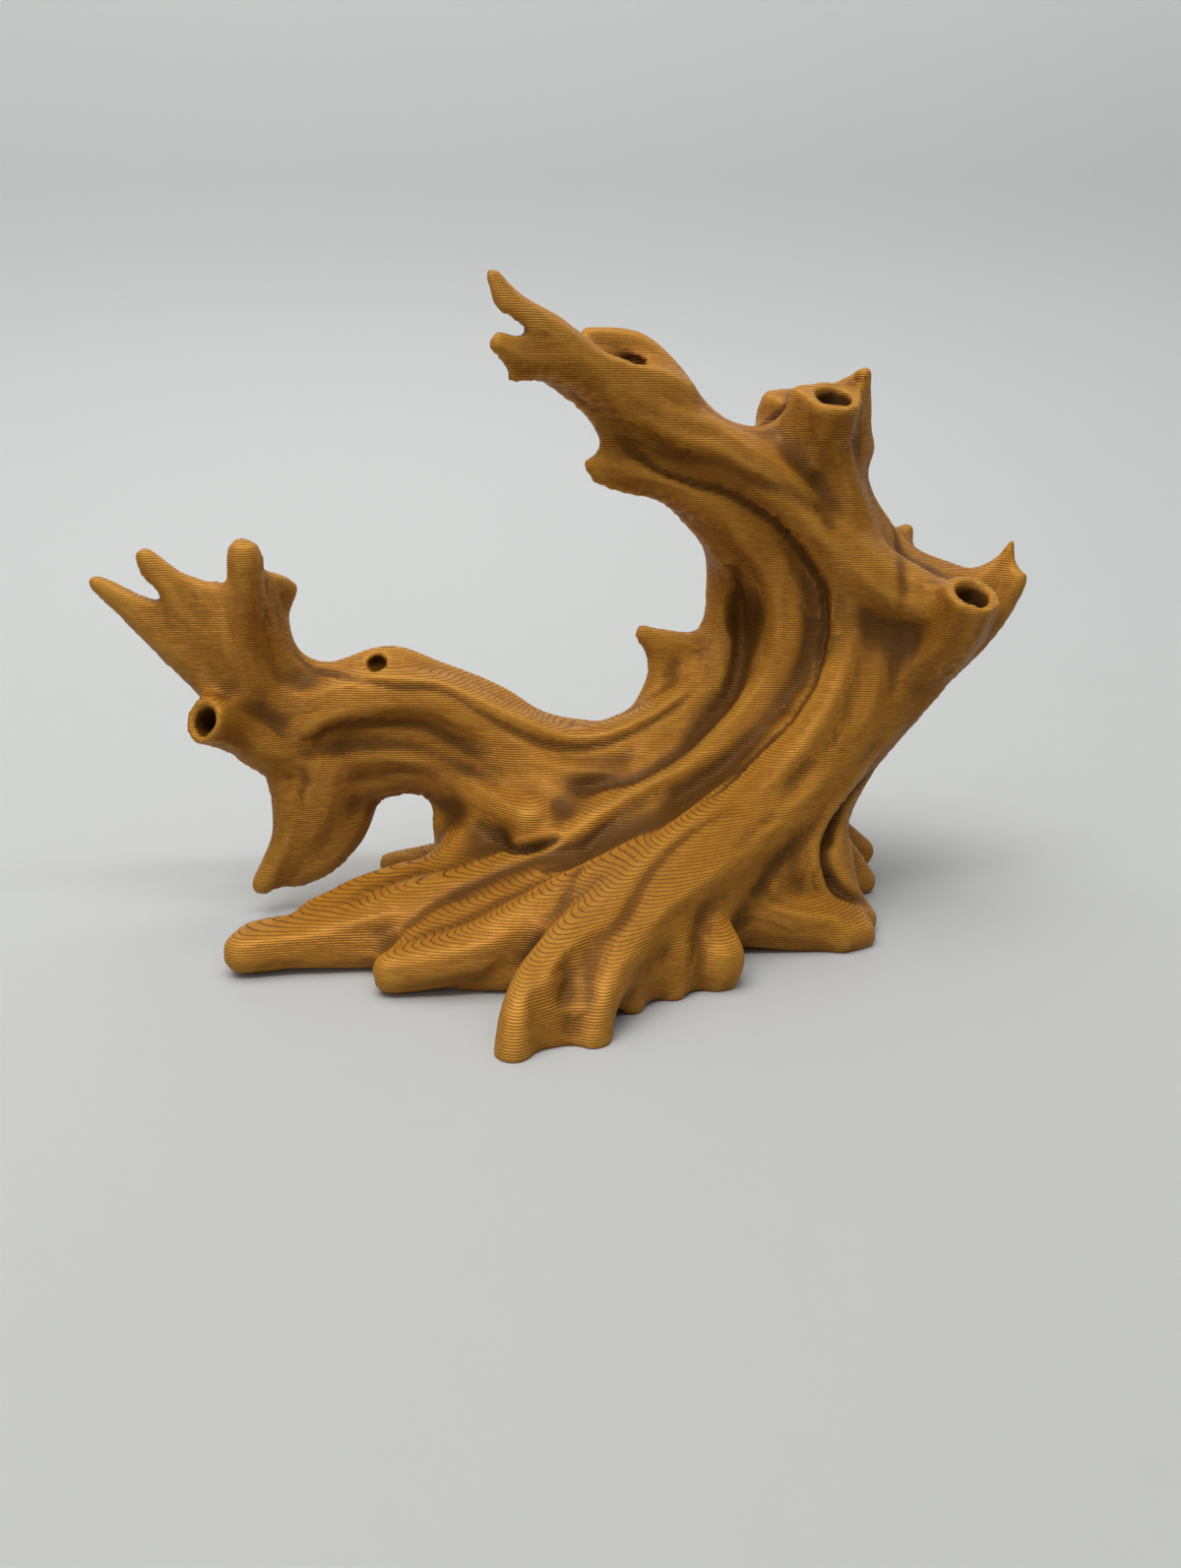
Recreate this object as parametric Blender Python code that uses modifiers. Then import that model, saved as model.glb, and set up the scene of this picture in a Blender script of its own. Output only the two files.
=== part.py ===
"""Dry root: a printed ornament of a weathered root that stands on a table.

The root is modelled as a bundle of tapered strands. Each strand follows a short route
of hand-picked places. The strands are fused a little too thick and then thinned again, so
that the valleys between them fill like those of real wood. The broken stub ends, the
notches and the flat base are cut last. Routes are in millimetres: across, away, up, radius.
"""
import math

import bmesh
import bpy
from mathutils import Vector

MM = 0.001
STEPS_PER_SPAN = 4          # curve points between two places of a route
TIP_STEPS = (0.45, 0.8, 0.97)   # how a rounded end fills out to the full radius
TUBE_SIDES_LEVEL = 2        # bevel resolution of a strand
VOXEL = 0.5 * MM            # fusing grid
PADDING = 0.9               # strands are fused this much too thick, then thinned again
FUSE_ROUNDS = 6             # smoothing rounds that blend strand into strand
THIN_STEPS = 4              # the padding comes off in this many passes
KEEP_RATIO = 0.095          # share of the fused faces that is kept
BORE_SIDES = 14             # sides of the plug that hollows a stub
BORE_TAPER = 0.5            # inner radius of that plug against its mouth
BORE_OVERRUN = 1            # how far it stands out of the mouth, in millimetres
MOUTH_SPARE = 1.0           # a stub is made this much too long, then trimmed flat
TRIM_RIM = 1.2              # how far the trimming disc stands out past the stub
BASE_CUT = 12 * MM          # depth of the block that flattens the base
BASE_REACH = 140 * MM       # its width, wider than the root

ROOT_COLOUR = (0.42, 0.185, 0.035, 1.0)
ROOT_ROUGHNESS = 0.42

TRUNK_MASS = {
    "trunk": [(20, 14, 44, 3.5), (21.5, 16, 38, 4.6), (23.5, 17, 30, 5.8), (22, 16.5, 23, 6.3),
              (18, 13.5, 16, 6.8), (14, 8, 9, 6.8), (11, 2, 4, 5)],
    "inner_wall": [(11, 14, 40, 3.3), (16, 17, 35, 4), (17.5, 18, 28, 4.6), (15.5, 16.5, 22, 5.6),
                   (10, 12.5, 15, 5.8), (5, 5.5, 9, 5.8), (1, -2, 4, 4)],
    "right_flank": [(32.5, 12, 28, 3.2), (27.5, 13, 22, 4.2), (23, 13, 15, 4.2), (19, 12, 8, 4),
                    (18, 10, 3, 4)],
    "left_haunch": [(5, 10, 13, 4.5), (-3, 9, 11, 4), (-9, 5, 7, 4), (-14, 0, 4, 3)],
    "heart": [(16, 15, 14, 7), (14, 13, 8, 7), (12, 11, 4, 6)],
    "sole": [(16, 15, 2, 4.5), (13, 8, 2, 5.5), (7, 1, 2, 4.5), (2, -6, 2, 3.5)],
}

TRUNK_SINEWS = {
    "brow": [(2, 10.5, 41, 1.2), (6, 11.5, 40, 2), (10, 12, 38.3, 2.4), (13.5, 12.5, 36, 2.6),
             (17, 13, 32.5, 2.7), (18.7, 13, 28.5, 2.8), (18.8, 12.5, 25, 3), (17, 11, 20, 3.2),
             (12, 8, 15.5, 3.2), (5, 4, 12, 3), (-2, 0.5, 8.3, 2.6), (-9, -1.5, 5.5, 2.6),
             (-16, -3.2, 4, 2.4), (-23, -5, 3, 2), (-29, -6, 2, 2)],
    "inner": [(9.6, 14, 38.4, 1.7), (12.7, 15.5, 33.2, 1.9), (13, 15.5, 27, 2), (12, 14, 22.5, 2.2),
              (9, 11, 19, 2.3), (4, 8.5, 16.5, 2.3), (-2, 8, 15.5, 2.2), (-8, 7.5, 18, 2),
              (-14, 7.5, 21, 1.8), (-20, 7.5, 21.5, 1.7), (-25, 7.5, 20, 1.6)],
    "seam": [(3, 10, 46.2, 1.9), (9, 10.5, 43.5, 2.3), (14, 11, 41, 2.6), (18.5, 11.5, 37.5, 2.7),
             (22, 12, 33, 2.7), (23.8, 12, 28.5, 2.7), (23.5, 10.5, 23, 2.8),
             (20, 6.5, 17, 3), (14.5, 2.5, 12, 3), (8, -3, 9, 3), (2, -9, 6.5, 2.6),
             (-2.5, -14.5, 5, 2.1), (-5.1, -18.6, 3, 1.7), (-5.9, -20.8, 0, 1.6)],
    "middle": [(23, 12.5, 35, 2), (26, 11, 26, 2.4), (25, 8.5, 19, 2.8), (20, 4.5, 13, 3),
               (14, -0.5, 9.5, 2.8), (9, -5.5, 7.5, 2.5), (4, -11, 5.5, 2.2),
               (1, -16.5, 3, 1.8), (0.3, -18.8, 0, 1.6)],
    "outer": [(21.5, 12, 42, 2.2), (24.3, 12.5, 35, 2.3), (28, 11.5, 28, 2.8), (28, 10, 20, 3),
              (24, 8, 15.5, 3), (20, 4, 10.5, 2.8), (15, 0, 7, 2.6), (11, -5, 5.5, 2)],
    "right_edge": [(34.5, 8, 27, 2), (31.5, 10, 21.5, 2), (26.5, 9, 15.5, 2), (23, 7, 9.5, 1.7),
                   (21.7, 4, 4.5, 1.6), (23.2, 0.6, 2, 1.8), (24.3, -1.6, 1, 1.6)],
    "rear_edge": [(39.3, 10, 31, 0.8), (38.3, 11, 28.5, 1.3), (36, 12, 25, 1.7),
                  (32.3, 12, 21.4, 1.9), (28.8, 12.5, 17.3, 1.9), (25.5, 12, 12.8, 1.9),
                  (22.8, 10.5, 8.5, 1.7), (22, 9, 5, 1.5), (23.6, 4.6, 3, 1.4), (25.2, 1.4, 1, 1.5)],
    "inner_fill": [(9, 13, 38.3, 2.2), (12.5, 13.5, 35, 2.5), (14.8, 14, 31, 2.5), (15.6, 14.8, 27, 2)],
}

UPPER_BRANCH = {
    "spike": [(-8, 6.5, 56.4, 0.6), (-6.4, 7, 53.8, 1.4), (-3, 8, 51.4, 1.9), (0.5, 9, 48.8, 1.9),
              (4, 10.5, 46.3, 2.2), (12, 12, 41.5, 2.6)],
    "lobe": [(-7.7, 6.5, 51, 1), (-5, 7.5, 50, 1.5), (0, 9, 48.5, 1.9),
             (6, 11, 45, 2.5), (13, 13, 40, 3)],
    "slot_wall": [(-0.4, 12.4, 52.1, 0.7), (2, 12.7, 51.8, 1), (4.5, 12.9, 51.1, 1.2),
                  (7.2, 12.7, 48.5, 1.4), (9.3, 12.6, 45.4, 1.6), (12, 12.7, 43, 2),
                  (16, 13.4, 42, 2.2)],
    "underside": [(-6.3, 8, 49.3, 0.6), (-2.5, 9.5, 48.4, 1.1), (0.8, 10.8, 45.9, 1.5),
                  (2.6, 11.4, 43.7, 1.6), (8, 13, 40.5, 2.2)],
    "hook": [(-0.3, 9, 41.2, 0.5), (1.8, 10.5, 41.2, 1.3), (5, 12, 41, 2), (9, 13, 39.5, 2.4),
             (13, 14, 37.5, 2.6)],
    "hook_lip": [(0.5, 9.5, 40, 0.6), (3.5, 11, 39.2, 0.8), (8.3, 12.7, 38.5, 1),
                 (12.4, 15, 34.9, 1.2)],
    "slot_lip": [(-1, 8.5, 50, 0.9), (2, 9, 49.3, 0.9), (5.5, 10, 48.3, 1.2), (8, 11, 47, 1.5)],
    "slot_floor": [(-2, 10.5, 48, 1.4), (2, 11.5, 47.2, 1.8), (6, 12, 46.2, 2)],
    "lobe_nub": [(-6.9, 7.2, 48.1, 0.35), (-5, 7.8, 48.9, 0.8)],
    "slot_back": [(-0.5, 12.3, 50.2, 1), (2, 12.8, 49.8, 1.4), (5, 13, 49, 1.7)],
}

BAY_AND_ARM = {
    "bay_rim": [(9.3, 13.8, 37.7, 1.1), (12.8, 15.2, 32.3, 1.3), (13.2, 16, 28, 1.5), (11, 15, 21.5, 1.7),
                (6, 13, 17.5, 1.7), (1, 11, 15.5, 1.6)],
    "crest": [(1, 11, 15.5, 1.6), (-5, 10, 17, 1.6), (-9, 10, 19.3, 1.8), (-15, 10.5, 21.7, 1.7),
              (-19, 10.5, 23.2, 1.6), (-24.5, 10, 22, 1.3), (-28, 10, 23.5, 1.2),
              (-29, 10, 27, 1.1)],
    "arm_mass": [(2, 11, 13, 4), (-5, 10.5, 14.5, 3.8), (-11, 10, 17, 3.6), (-17, 9.5, 18.5, 3.4),
                 (-23, 9, 18.5, 3.2), (-28, 8.5, 19.5, 2.8), (-32, 7.5, 22.5, 2.4)],
    "arm_fold": [(-26, 6.5, 18, 1.5), (-21, 7, 20, 1.7), (-15, 7.5, 20, 1.8), (-9, 7, 17, 2),
                 (-4, 6, 13.5, 2.2), (2, 6, 13, 2.2), (8, 7.5, 15, 2.2)],
    "arm_belly": [(-22, 8.5, 11.8, 2), (-17, 8.5, 13.2, 2.4), (-12, 7.5, 12.6, 2.6),
                  (-8.6, 4.8, 11.2, 2.5), (-5.4, 1.6, 10.7, 2.1)],
    "horn": [(5, 13, 25.3, 0.9), (6.3, 13.5, 24.4, 1.5), (9, 14.3, 23.3, 2)],
    "horn_foot": [(6.5, 13.5, 24, 1), (6.5, 13, 21, 1.3), (5.5, 12.5, 18.5, 1.4)],
    "neck": [(-12, 10, 11, 2.6), (-12.5, 8, 7.5, 2.5), (-12, 4, 5, 3)],
    "arm_fill": [(-25, 8.5, 15.5, 2.6), (-18, 8.5, 15.5, 3), (-11, 8, 14.5, 3), (-5, 6, 12.5, 3),
                 (0, 4, 9.5, 3)],
    "belly_back": [(-13, 7, 8, 2.2), (-8, 6, 8.5, 2.5), (-3, 5, 8.5, 2.5)],
}

HAND = {
    "finger_low": [(-43.3, 5, 31.4, 0.8), (-41, 5.5, 29.5, 1.4), (-38, 6, 26.5, 1.8),
                   (-34, 7, 22, 2.2)],
    "finger_mid": [(-38.9, 5.5, 33.5, 1), (-37, 6, 30.8, 1.6), (-34.5, 6.5, 26, 2),
                   (-31, 7.5, 21, 2.4)],
    "finger_top": [(-30.3, 6, 33.6, 1.7), (-30.6, 6.6, 30.3, 1.8), (-30.8, 7.6, 26, 1.8),
                   (-30, 8.5, 21, 2.2)],
    "web_low": [(-39.3, 5.8, 28.6, 1), (-36.5, 6.3, 25.5, 1.8), (-33, 7, 21.5, 2.2)],
    "web_high": [(-35.2, 6.2, 31, 0.9), (-33.5, 6.6, 27, 2), (-31.5, 7, 22, 2.4)],
    "palm": [(-33, 6.2, 30, 1.4), (-32.5, 6.8, 25, 2), (-31, 7.5, 20, 2.2)],
    "palm_heel": [(-29.8, 8, 29.5, 1.2), (-29.8, 8.5, 25, 1.5), (-28, 9, 21, 2)],
    "finger_link": [(-30, 8, 31.3, 1.1), (-28.3, 10.5, 30.3, 1)],
    "finger_back": [(-27.8, 11, 30, 0.9), (-29, 10.5, 28, 1.2), (-29.8, 9.5, 25, 1.4)],
    "spur": [(-27.5, 8, 14.5, 2.8), (-27.8, 7, 10.5, 2.4), (-28.5, 6.2, 6.8, 1.9), (-31, 5, 3, 1.2)],
    "spur_back": [(-22, 9.5, 13.3, 2.6), (-22.6, 9, 10, 2.2), (-23.5, 8, 7.3, 2),
                  (-25.7, 7, 4.9, 1.8), (-28.3, 6.2, 3.4, 1.3)],
    "plate_one": [(-35.7, 6.2, 28, 1.2), (-34, 6.6, 25, 2), (-31, 7.5, 20, 2.4)],
    "plate_two": [(-32.5, 6.1, 30, 1.4), (-32.4, 6.3, 26.5, 2.1), (-31, 7, 22, 2.4)],
    "spur_fill": [(-24.5, 8, 14, 2.8), (-25, 7.5, 10.5, 2.4), (-26.5, 6.8, 7.5, 1.9), (-28.5, 6, 5, 1.5)],
}

CROWN_AND_SHOULDER = {
    "stub_lip": [(19, 12, 44, 1.6), (18.5, 11.5, 47, 0.9)],
    "left_stub_top": [(18, 17, 42, 2.4), (17, 16.5, 45, 1.9), (16.9, 16, 46.2, 1.4)],
    "tall_spike": [(23.7, 14.5, 41, 2.2), (23.9, 14, 45, 1.8), (24.1, 13.6, 47.4, 1.4),
                   (24.5, 13, 48.7, 0.8)],
    "spike_shoulder": [(22.8, 14.5, 44, 1.6), (23, 14, 47.2, 1.2)],
    "shoulder": [(23, 14, 43, 2.2), (24.5, 15, 37.5, 2.2), (29, 15, 31.3, 2.8),
                 (34, 14, 29.3, 2.7)],
    "shoulder_nub": [(29.5, 17.5, 32.5, 1.6), (30.5, 17.5, 34.5, 0.9)],
    "arm_spike": [(33, 13, 28, 2.6), (36.5, 12.5, 30, 2), (38.2, 12, 32, 1.2),
                  (38.7, 11.5, 34, 0.5)],
    "crown_fill": [(15.5, 13.8, 42.4, 1.9), (21, 14.5, 42.9, 2.6), (24, 15, 42.3, 2.4)],
    "arm_front": [(22.5, 11.8, 34.5, 2.8), (26, 11, 31, 3.2), (30, 10, 29, 3), (32.4, 8.6, 28.8, 2.3)],
    "left_stub_side": [(19, 16, 42, 2.2), (18.6, 15.7, 46.4, 1.4)],
}

FRONT_ROOTS = {
    "left_root": [(0, 2, 5.5, 4), (-8, -0.5, 4, 3.4), (-15, -3.5, 4, 3), (-22, -5.5, 2.5, 2.4),
                  (-29.5, -7.2, 1.8, 2)],
    "left_root_crest": [(0, 3, 7.5, 2.8), (-7, 2, 6, 2.2), (-14, 1, 5.3, 2), (-19, -1, 5, 1.8),
                        (-24, -4, 3.5, 1.8)],
    "second_root": [(8, -1, 8, 3.4), (2, -5, 7, 3), (-4, -8, 5.2, 2.8), (-10, -10, 3, 2.4),
                    (-16.3, -10.8, 1.7, 1.9)],
    "second_fill": [(2, -6, 4, 3.5), (-5, -9.5, 2, 2.4), (-10, -10, 1, 1.5)],
    "left_fill": [(-12, -5, 2, 2.5), (-20, -6.3, 1.6, 1.7), (-25, -7, 1.6, 1.4)],
    "front_fill": [(6, -2, 5, 4), (1, -8, 3.5, 3.5), (-1.4, -14, 2, 2.7), (-3, -18.4, 0.5, 1.9)],
    "fold_left": [(5.5, -9, 6.5, 1.4), (4, -12.5, 4, 1.2), (3.3, -14, 0.5, 1.2)],
    "fold_right": [(8, -7, 7, 1.5), (7, -10.5, 4, 1.3), (6.7, -11.8, 0.5, 1.2)],
    "fold_fill": [(9, -3, 4, 3.4), (5, -10, 2, 3.2)],
    "knob": [(10.4, -4, 7.5, 0.9), (10.4, -6.5, 5, 1.3), (10.9, -9, 2.5, 2.2), (10.4, -9.3, 0.5, 2)],
    "knob_fill": [(11, 0, 3, 3.5), (9, -7, 2, 3)],
    "foot_web": [(12, -1.5, 3, 3.2), (16, -1.4, 2.5, 3.2), (20.8, -1.2, 1.5, 2.8)],
    "right_foot": [(20, 6, 7, 3.5), (20.8, 1.8, 3, 3), (22.4, -2, 1, 2.2)],
    "foot_fill": [(20, 8, 14, 3.5), (19, 5, 9, 4), (19, 2.5, 5, 4), (19, 1.5, 2, 3.5)],
    "foot_fill_two": [(16, 3, 9, 3.5), (15, 0, 5, 3.5), (15, -0.5, 2, 2.8)],
    "front_web": [(2, -9, 5.5, 2.8), (-1, -14, 4, 2.2), (-2.8, -18, 1.8, 1.8)],
    "foot_fill_three": [(21, 5.5, 9, 3), (21.5, 3.5, 6, 3), (22.5, 1.5, 3, 2.6)],
    "root_web": [(-4, -4, 5.6, 2.6), (-10, -6, 3.8, 2.4), (-15, -7.5, 2.4, 2)],
}

REAR = {
    "near_toe": [(22, 13, 6, 2.6), (25.3, 11.5, 2.5, 2), (26.8, 10.5, 1, 1.7)],
    "far_toe": [(22, 17, 6, 2.6), (26.4, 16.5, 3, 1.9), (27.9, 16, 2, 1.7)],
    "rear_left_root": [(-2, 10, 7, 3.6), (-9, 11, 4.5, 2.8), (-15, 13.5, 2.2, 2), (-20, 15.5, 1, 1.3),
                       (-21, 16, 0.8, 1.1)],
    "spine_left": [(14, 17, 40, 2), (17, 20, 34, 2.4), (18, 21, 27, 2.8), (15, 20, 20, 3.2),
                   (10, 18, 13, 3.4), (5, 17, 7, 3.2), (0, 19, 3, 2.4), (-5, 22, 1, 1.8)],
    "spine_middle": [(18, 17, 44, 2), (22, 20, 38, 2.5), (24, 22, 31, 3), (23, 22, 24, 3.2),
                     (20, 21, 16, 3.4), (17, 21, 9, 3.4), (14, 23, 4, 2.8), (11, 27, 1, 2)],
    "spine_right": [(23.5, 17, 40, 2), (25.5, 19, 33, 2.4), (27, 19, 27, 2.8), (25, 19, 19, 3),
                    (21, 19, 12, 3), (18.5, 20, 6, 2.6), (20, 24, 1, 1.8)],
    "rear_arm": [(3, 15, 11, 3.4), (-4, 13.5, 13, 3), (-12, 12.5, 16.5, 2.6),
                 (-20, 12, 18, 2.3), (-27, 10.5, 19, 2)],
}

# broken-off stubs with a hollow end: route from root to mouth, radius of the hollow, its depth
HOLLOW_STUBS = {
    "front_stub": ([(21, 13.5, 39, 3), (21, 12, 43.2, 2.8), (21.3, 10.2, 46.9, 2.7)], 1.85, 6),
    "left_stub": ([(-27, 8, 14.5, 2.8), (-29.8, 6.8, 16, 2.7), (-32.4, 5.2, 18.2, 2.3),
                   (-34.1, 1.8, 19.8, 2.15)], 1.5, 5),
    "right_stub": ([(28, 12, 20, 3), (31.3, 9.7, 23.5, 2.9), (33.2, 7.4, 26.9, 2.8),
                    (33.8, 5.4, 30.4, 2.6)], 1.8, 6),
}
# pockets: place, half lengths, turn about Y in degrees
POCKETS = {
    "slot_pocket": ((2.4, 10.2, 50.7), (3.2, 0.9, 1.5), 12),
    "slot_hole": ((3.7, 10.4, 49.9), (1.6, 1.7, 0.6), 14),
    "spike_notch": ((-8.6, 6.5, 53.4), (3.9, 5, 0.8), 25),
    "finger_notch_low": ((-40.4, 5.5, 31.5), (3.2, 4, 0.9), 34),
    "finger_notch_high": ((-32.6, 6, 32.2), (0.7, 3, 1.2), 0),
    "crest_pocket": ((-19.8, 8.6, 23.3), (1.0, 1.7, 0.75), 0),
}



def clear_scene():
    for thing in list(bpy.data.objects):
        bpy.data.objects.remove(thing, do_unlink=True)


def new_collection(name):
    group = bpy.data.collections.new(name)
    bpy.context.scene.collection.children.link(group)
    return group


def between(before, start, end, after, share):
    """Catmull-Rom: the smooth curve through four neighbouring places."""
    def blend(p, q, r, s):
        return 0.5 * (2 * q + (r - p) * share + (2 * p - 5 * q + 4 * r - s) * share ** 2
                      + (3 * q - p - 3 * r + s) * share ** 3)
    return tuple(blend(*four) for four in zip(before, start, end, after))


def smooth_route(route):
    padded = [route[0], *route, route[-1]]
    points = []
    for four in zip(padded, padded[1:], padded[2:], padded[3:]):
        points += [between(*four, step / STEPS_PER_SPAN) for step in range(STEPS_PER_SPAN)]
    points.append(route[-1])
    return points


def rounded_end(point, neighbour):
    """Points that close a strand with a round end, outermost first."""
    place, radius = Vector(point[:3]), point[3]
    outward = (place - Vector(neighbour[:3])).normalized()
    ends = []
    for fill in TIP_STEPS:
        reach = radius * math.sqrt(1 - fill * fill)
        ends.append((*(place + outward * reach), radius * fill))
    return ends


def padded_mouth(point, neighbour):
    """A flat end, moved out by the padding that comes off it later."""
    place = Vector(point[:3])
    outward = (place - Vector(neighbour[:3])).normalized()
    return (*(place + outward * (PADDING + MOUTH_SPARE)), point[3])


def add_strand(curve, route, open_mouth=False):
    body = [(*point[:3], point[3] + PADDING) for point in smooth_route(route)]
    head = rounded_end(body[0], body[1])
    tail = [padded_mouth(body[-1], body[-2])] if open_mouth else rounded_end(body[-1], body[-2])
    points = head + body + tail[::-1]
    spline = curve.splines.new("POLY")
    spline.points.add(len(points) - 1)
    for spot, (across, away, up, radius) in zip(spline.points, points):
        spot.co = (across * MM, away * MM, up * MM, 1)
        spot.radius = radius


def strand_bundle(name, groups, collection):
    """All strands as one mesh of closed tubes."""
    curve = bpy.data.curves.new(name, "CURVE")
    curve.dimensions = "3D"
    curve.bevel_depth = MM
    curve.bevel_resolution = TUBE_SIDES_LEVEL
    curve.use_fill_caps = True
    for group in groups:
        for route in group.values():
            add_strand(curve, route)
    for route, _, _ in HOLLOW_STUBS.values():
        add_strand(curve, route, open_mouth=True)
    holder = bpy.data.objects.new("strand_curves", curve)
    collection.objects.link(holder)
    graph = bpy.context.evaluated_depsgraph_get()
    mesh = bpy.data.meshes.new_from_object(holder.evaluated_get(graph))
    weld(mesh)
    bundle = bpy.data.objects.new(name, mesh)
    bundle.matrix_world = holder.matrix_world
    bpy.data.objects.remove(holder, do_unlink=True)
    collection.objects.link(bundle)
    return bundle


def weld(mesh):
    shell = bmesh.new()
    shell.from_mesh(mesh)
    bmesh.ops.remove_doubles(shell, verts=shell.verts, dist=0.01 * MM)
    shell.to_mesh(mesh)
    shell.free()


def melt(bundle, name):
    step = bundle.modifiers.new(name, "REMESH")
    step.mode = "VOXEL"
    step.voxel_size = VOXEL


def blend(bundle, name, rounds):
    step = bundle.modifiers.new(name, "SMOOTH")
    step.factor = 0.5
    step.iterations = rounds


def fuse(bundle):
    """Melt the strands into one body, take the padding off and keep a light mesh."""
    melt(bundle, "melt")
    blend(bundle, "blend", FUSE_ROUNDS)
    for number in range(THIN_STEPS):
        step = bundle.modifiers.new("thin_%d" % (number + 1), "DISPLACE")
        step.strength = -PADDING / THIN_STEPS * MM
        step.mid_level = 0.0
        blend(bundle, "ease_%d" % (number + 1), 1)
    melt(bundle, "even_out")
    lighten = bundle.modifiers.new("lighten", "DECIMATE")
    lighten.ratio = KEEP_RATIO


def as_cutter(cutter, name, collection):
    cutter.name = name
    for owner in list(cutter.users_collection):
        owner.objects.unlink(cutter)
    collection.objects.link(cutter)
    cutter.hide_render = True
    cutter.display_type = "WIRE"
    return cutter


def mouth_direction(route):
    mouth, inner = Vector(route[-1][:3]), Vector(route[-2][:3])
    return mouth, (mouth - inner).normalized()


def bore_cutter(name, spec, collection):
    """A tapered plug that hollows a stub from its mouth inwards."""
    route, radius, depth = spec
    mouth, outward = mouth_direction(route)
    middle = mouth + outward * (BORE_OVERRUN - depth / 2)
    bpy.ops.mesh.primitive_cone_add(vertices=BORE_SIDES, radius1=radius * BORE_TAPER * MM,
                                    radius2=radius * MM, depth=depth * MM, location=middle * MM,
                                    rotation=outward.to_track_quat("Z", "Y").to_euler())
    return as_cutter(bpy.context.object, name + "_bore", collection)


def mouth_trimmer(name, spec, collection):
    """A disc that cuts the end of a stub flat."""
    route = spec[0]
    mouth, outward = mouth_direction(route)
    thick = 3 * MOUTH_SPARE
    bpy.ops.mesh.primitive_cylinder_add(vertices=BORE_SIDES, radius=(route[-1][3] + TRIM_RIM) * MM,
                                        depth=thick * MM,
                                        location=(mouth + outward * thick / 2) * MM,
                                        rotation=outward.to_track_quat("Z", "Y").to_euler())
    return as_cutter(bpy.context.object, name + "_trim", collection)


def pocket_cutter(name, spec, collection):
    (across, away, up), halves, turn = spec
    bpy.ops.mesh.primitive_uv_sphere_add(segments=12, ring_count=8, radius=MM,
                                         location=(across * MM, away * MM, up * MM),
                                         rotation=(0, math.radians(turn), 0), scale=halves)
    cutter = as_cutter(bpy.context.object, name, collection)
    bpy.ops.object.transform_apply(location=False, rotation=False, scale=True)
    return cutter


def base_cutter(collection):
    bpy.ops.mesh.primitive_cube_add(size=1, location=(0, 0, -BASE_CUT / 2),
                                    scale=(BASE_REACH, BASE_REACH, BASE_CUT))
    cutter = as_cutter(bpy.context.object, "base_plane", collection)
    bpy.ops.object.transform_apply(location=False, rotation=False, scale=True)
    return cutter


def cut(body, cutters):
    for cutter in cutters:
        step = body.modifiers.new(cutter.name, "BOOLEAN")
        step.operation = "DIFFERENCE"
        step.solver = "EXACT"
        step.object = cutter


def printed_gold_brown():
    finish = bpy.data.materials.new("printed_gold_brown")
    finish.use_nodes = True
    shader = finish.node_tree.nodes["Principled BSDF"]
    shader.inputs["Base Color"].default_value = ROOT_COLOUR
    shader.inputs["Roughness"].default_value = ROOT_ROUGHNESS
    shader.inputs["Metallic"].default_value = 0.0
    return finish


def centre_on_table(body, cutters):
    """Move the root so that the middle of its box stands over the origin."""
    bpy.context.view_layer.update()
    solid = body.evaluated_get(bpy.context.evaluated_depsgraph_get())
    corners = [solid.matrix_world @ Vector(corner) for corner in solid.bound_box]
    low = [min(corner[axis] for corner in corners) for axis in range(3)]
    high = [max(corner[axis] for corner in corners) for axis in range(3)]
    shift = Vector((-(low[0] + high[0]) / 2, -(low[1] + high[1]) / 2, -low[2]))
    for thing in (body, *cutters):
        thing.location += shift


def build():
    clear_scene()
    parts = new_collection("dry_root")
    tools = new_collection("cutters")
    groups = (TRUNK_MASS, TRUNK_SINEWS, UPPER_BRANCH, BAY_AND_ARM, HAND, CROWN_AND_SHOULDER,
              FRONT_ROOTS, REAR)
    root = strand_bundle("dry_root", groups, parts)
    fuse(root)
    cutters = [mouth_trimmer(name, spec, tools) for name, spec in HOLLOW_STUBS.items()]
    cutters += [bore_cutter(name, spec, tools) for name, spec in HOLLOW_STUBS.items()]
    cutters += [pocket_cutter(name, spec, tools) for name, spec in POCKETS.items()]
    cutters.append(base_cutter(tools))
    cut(root, cutters)
    centre_on_table(root, cutters)
    root.data.materials.append(printed_gold_brown())
    for face in root.data.polygons:
        face.use_smooth = True


build()
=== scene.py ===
"""Dry root: the printed ornament as it looks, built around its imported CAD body.

The body is modelled again from the same routes on a finer grid, then carved: grain that runs
along the limbs, folds and a ragged seam on the trunk, rough undersides, hollow stubs.
Routes are in millimetres: across, away, up, radius.
"""
import math

import bpy
import numpy as np
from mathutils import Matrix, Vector, bvhtree, kdtree, noise


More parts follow.
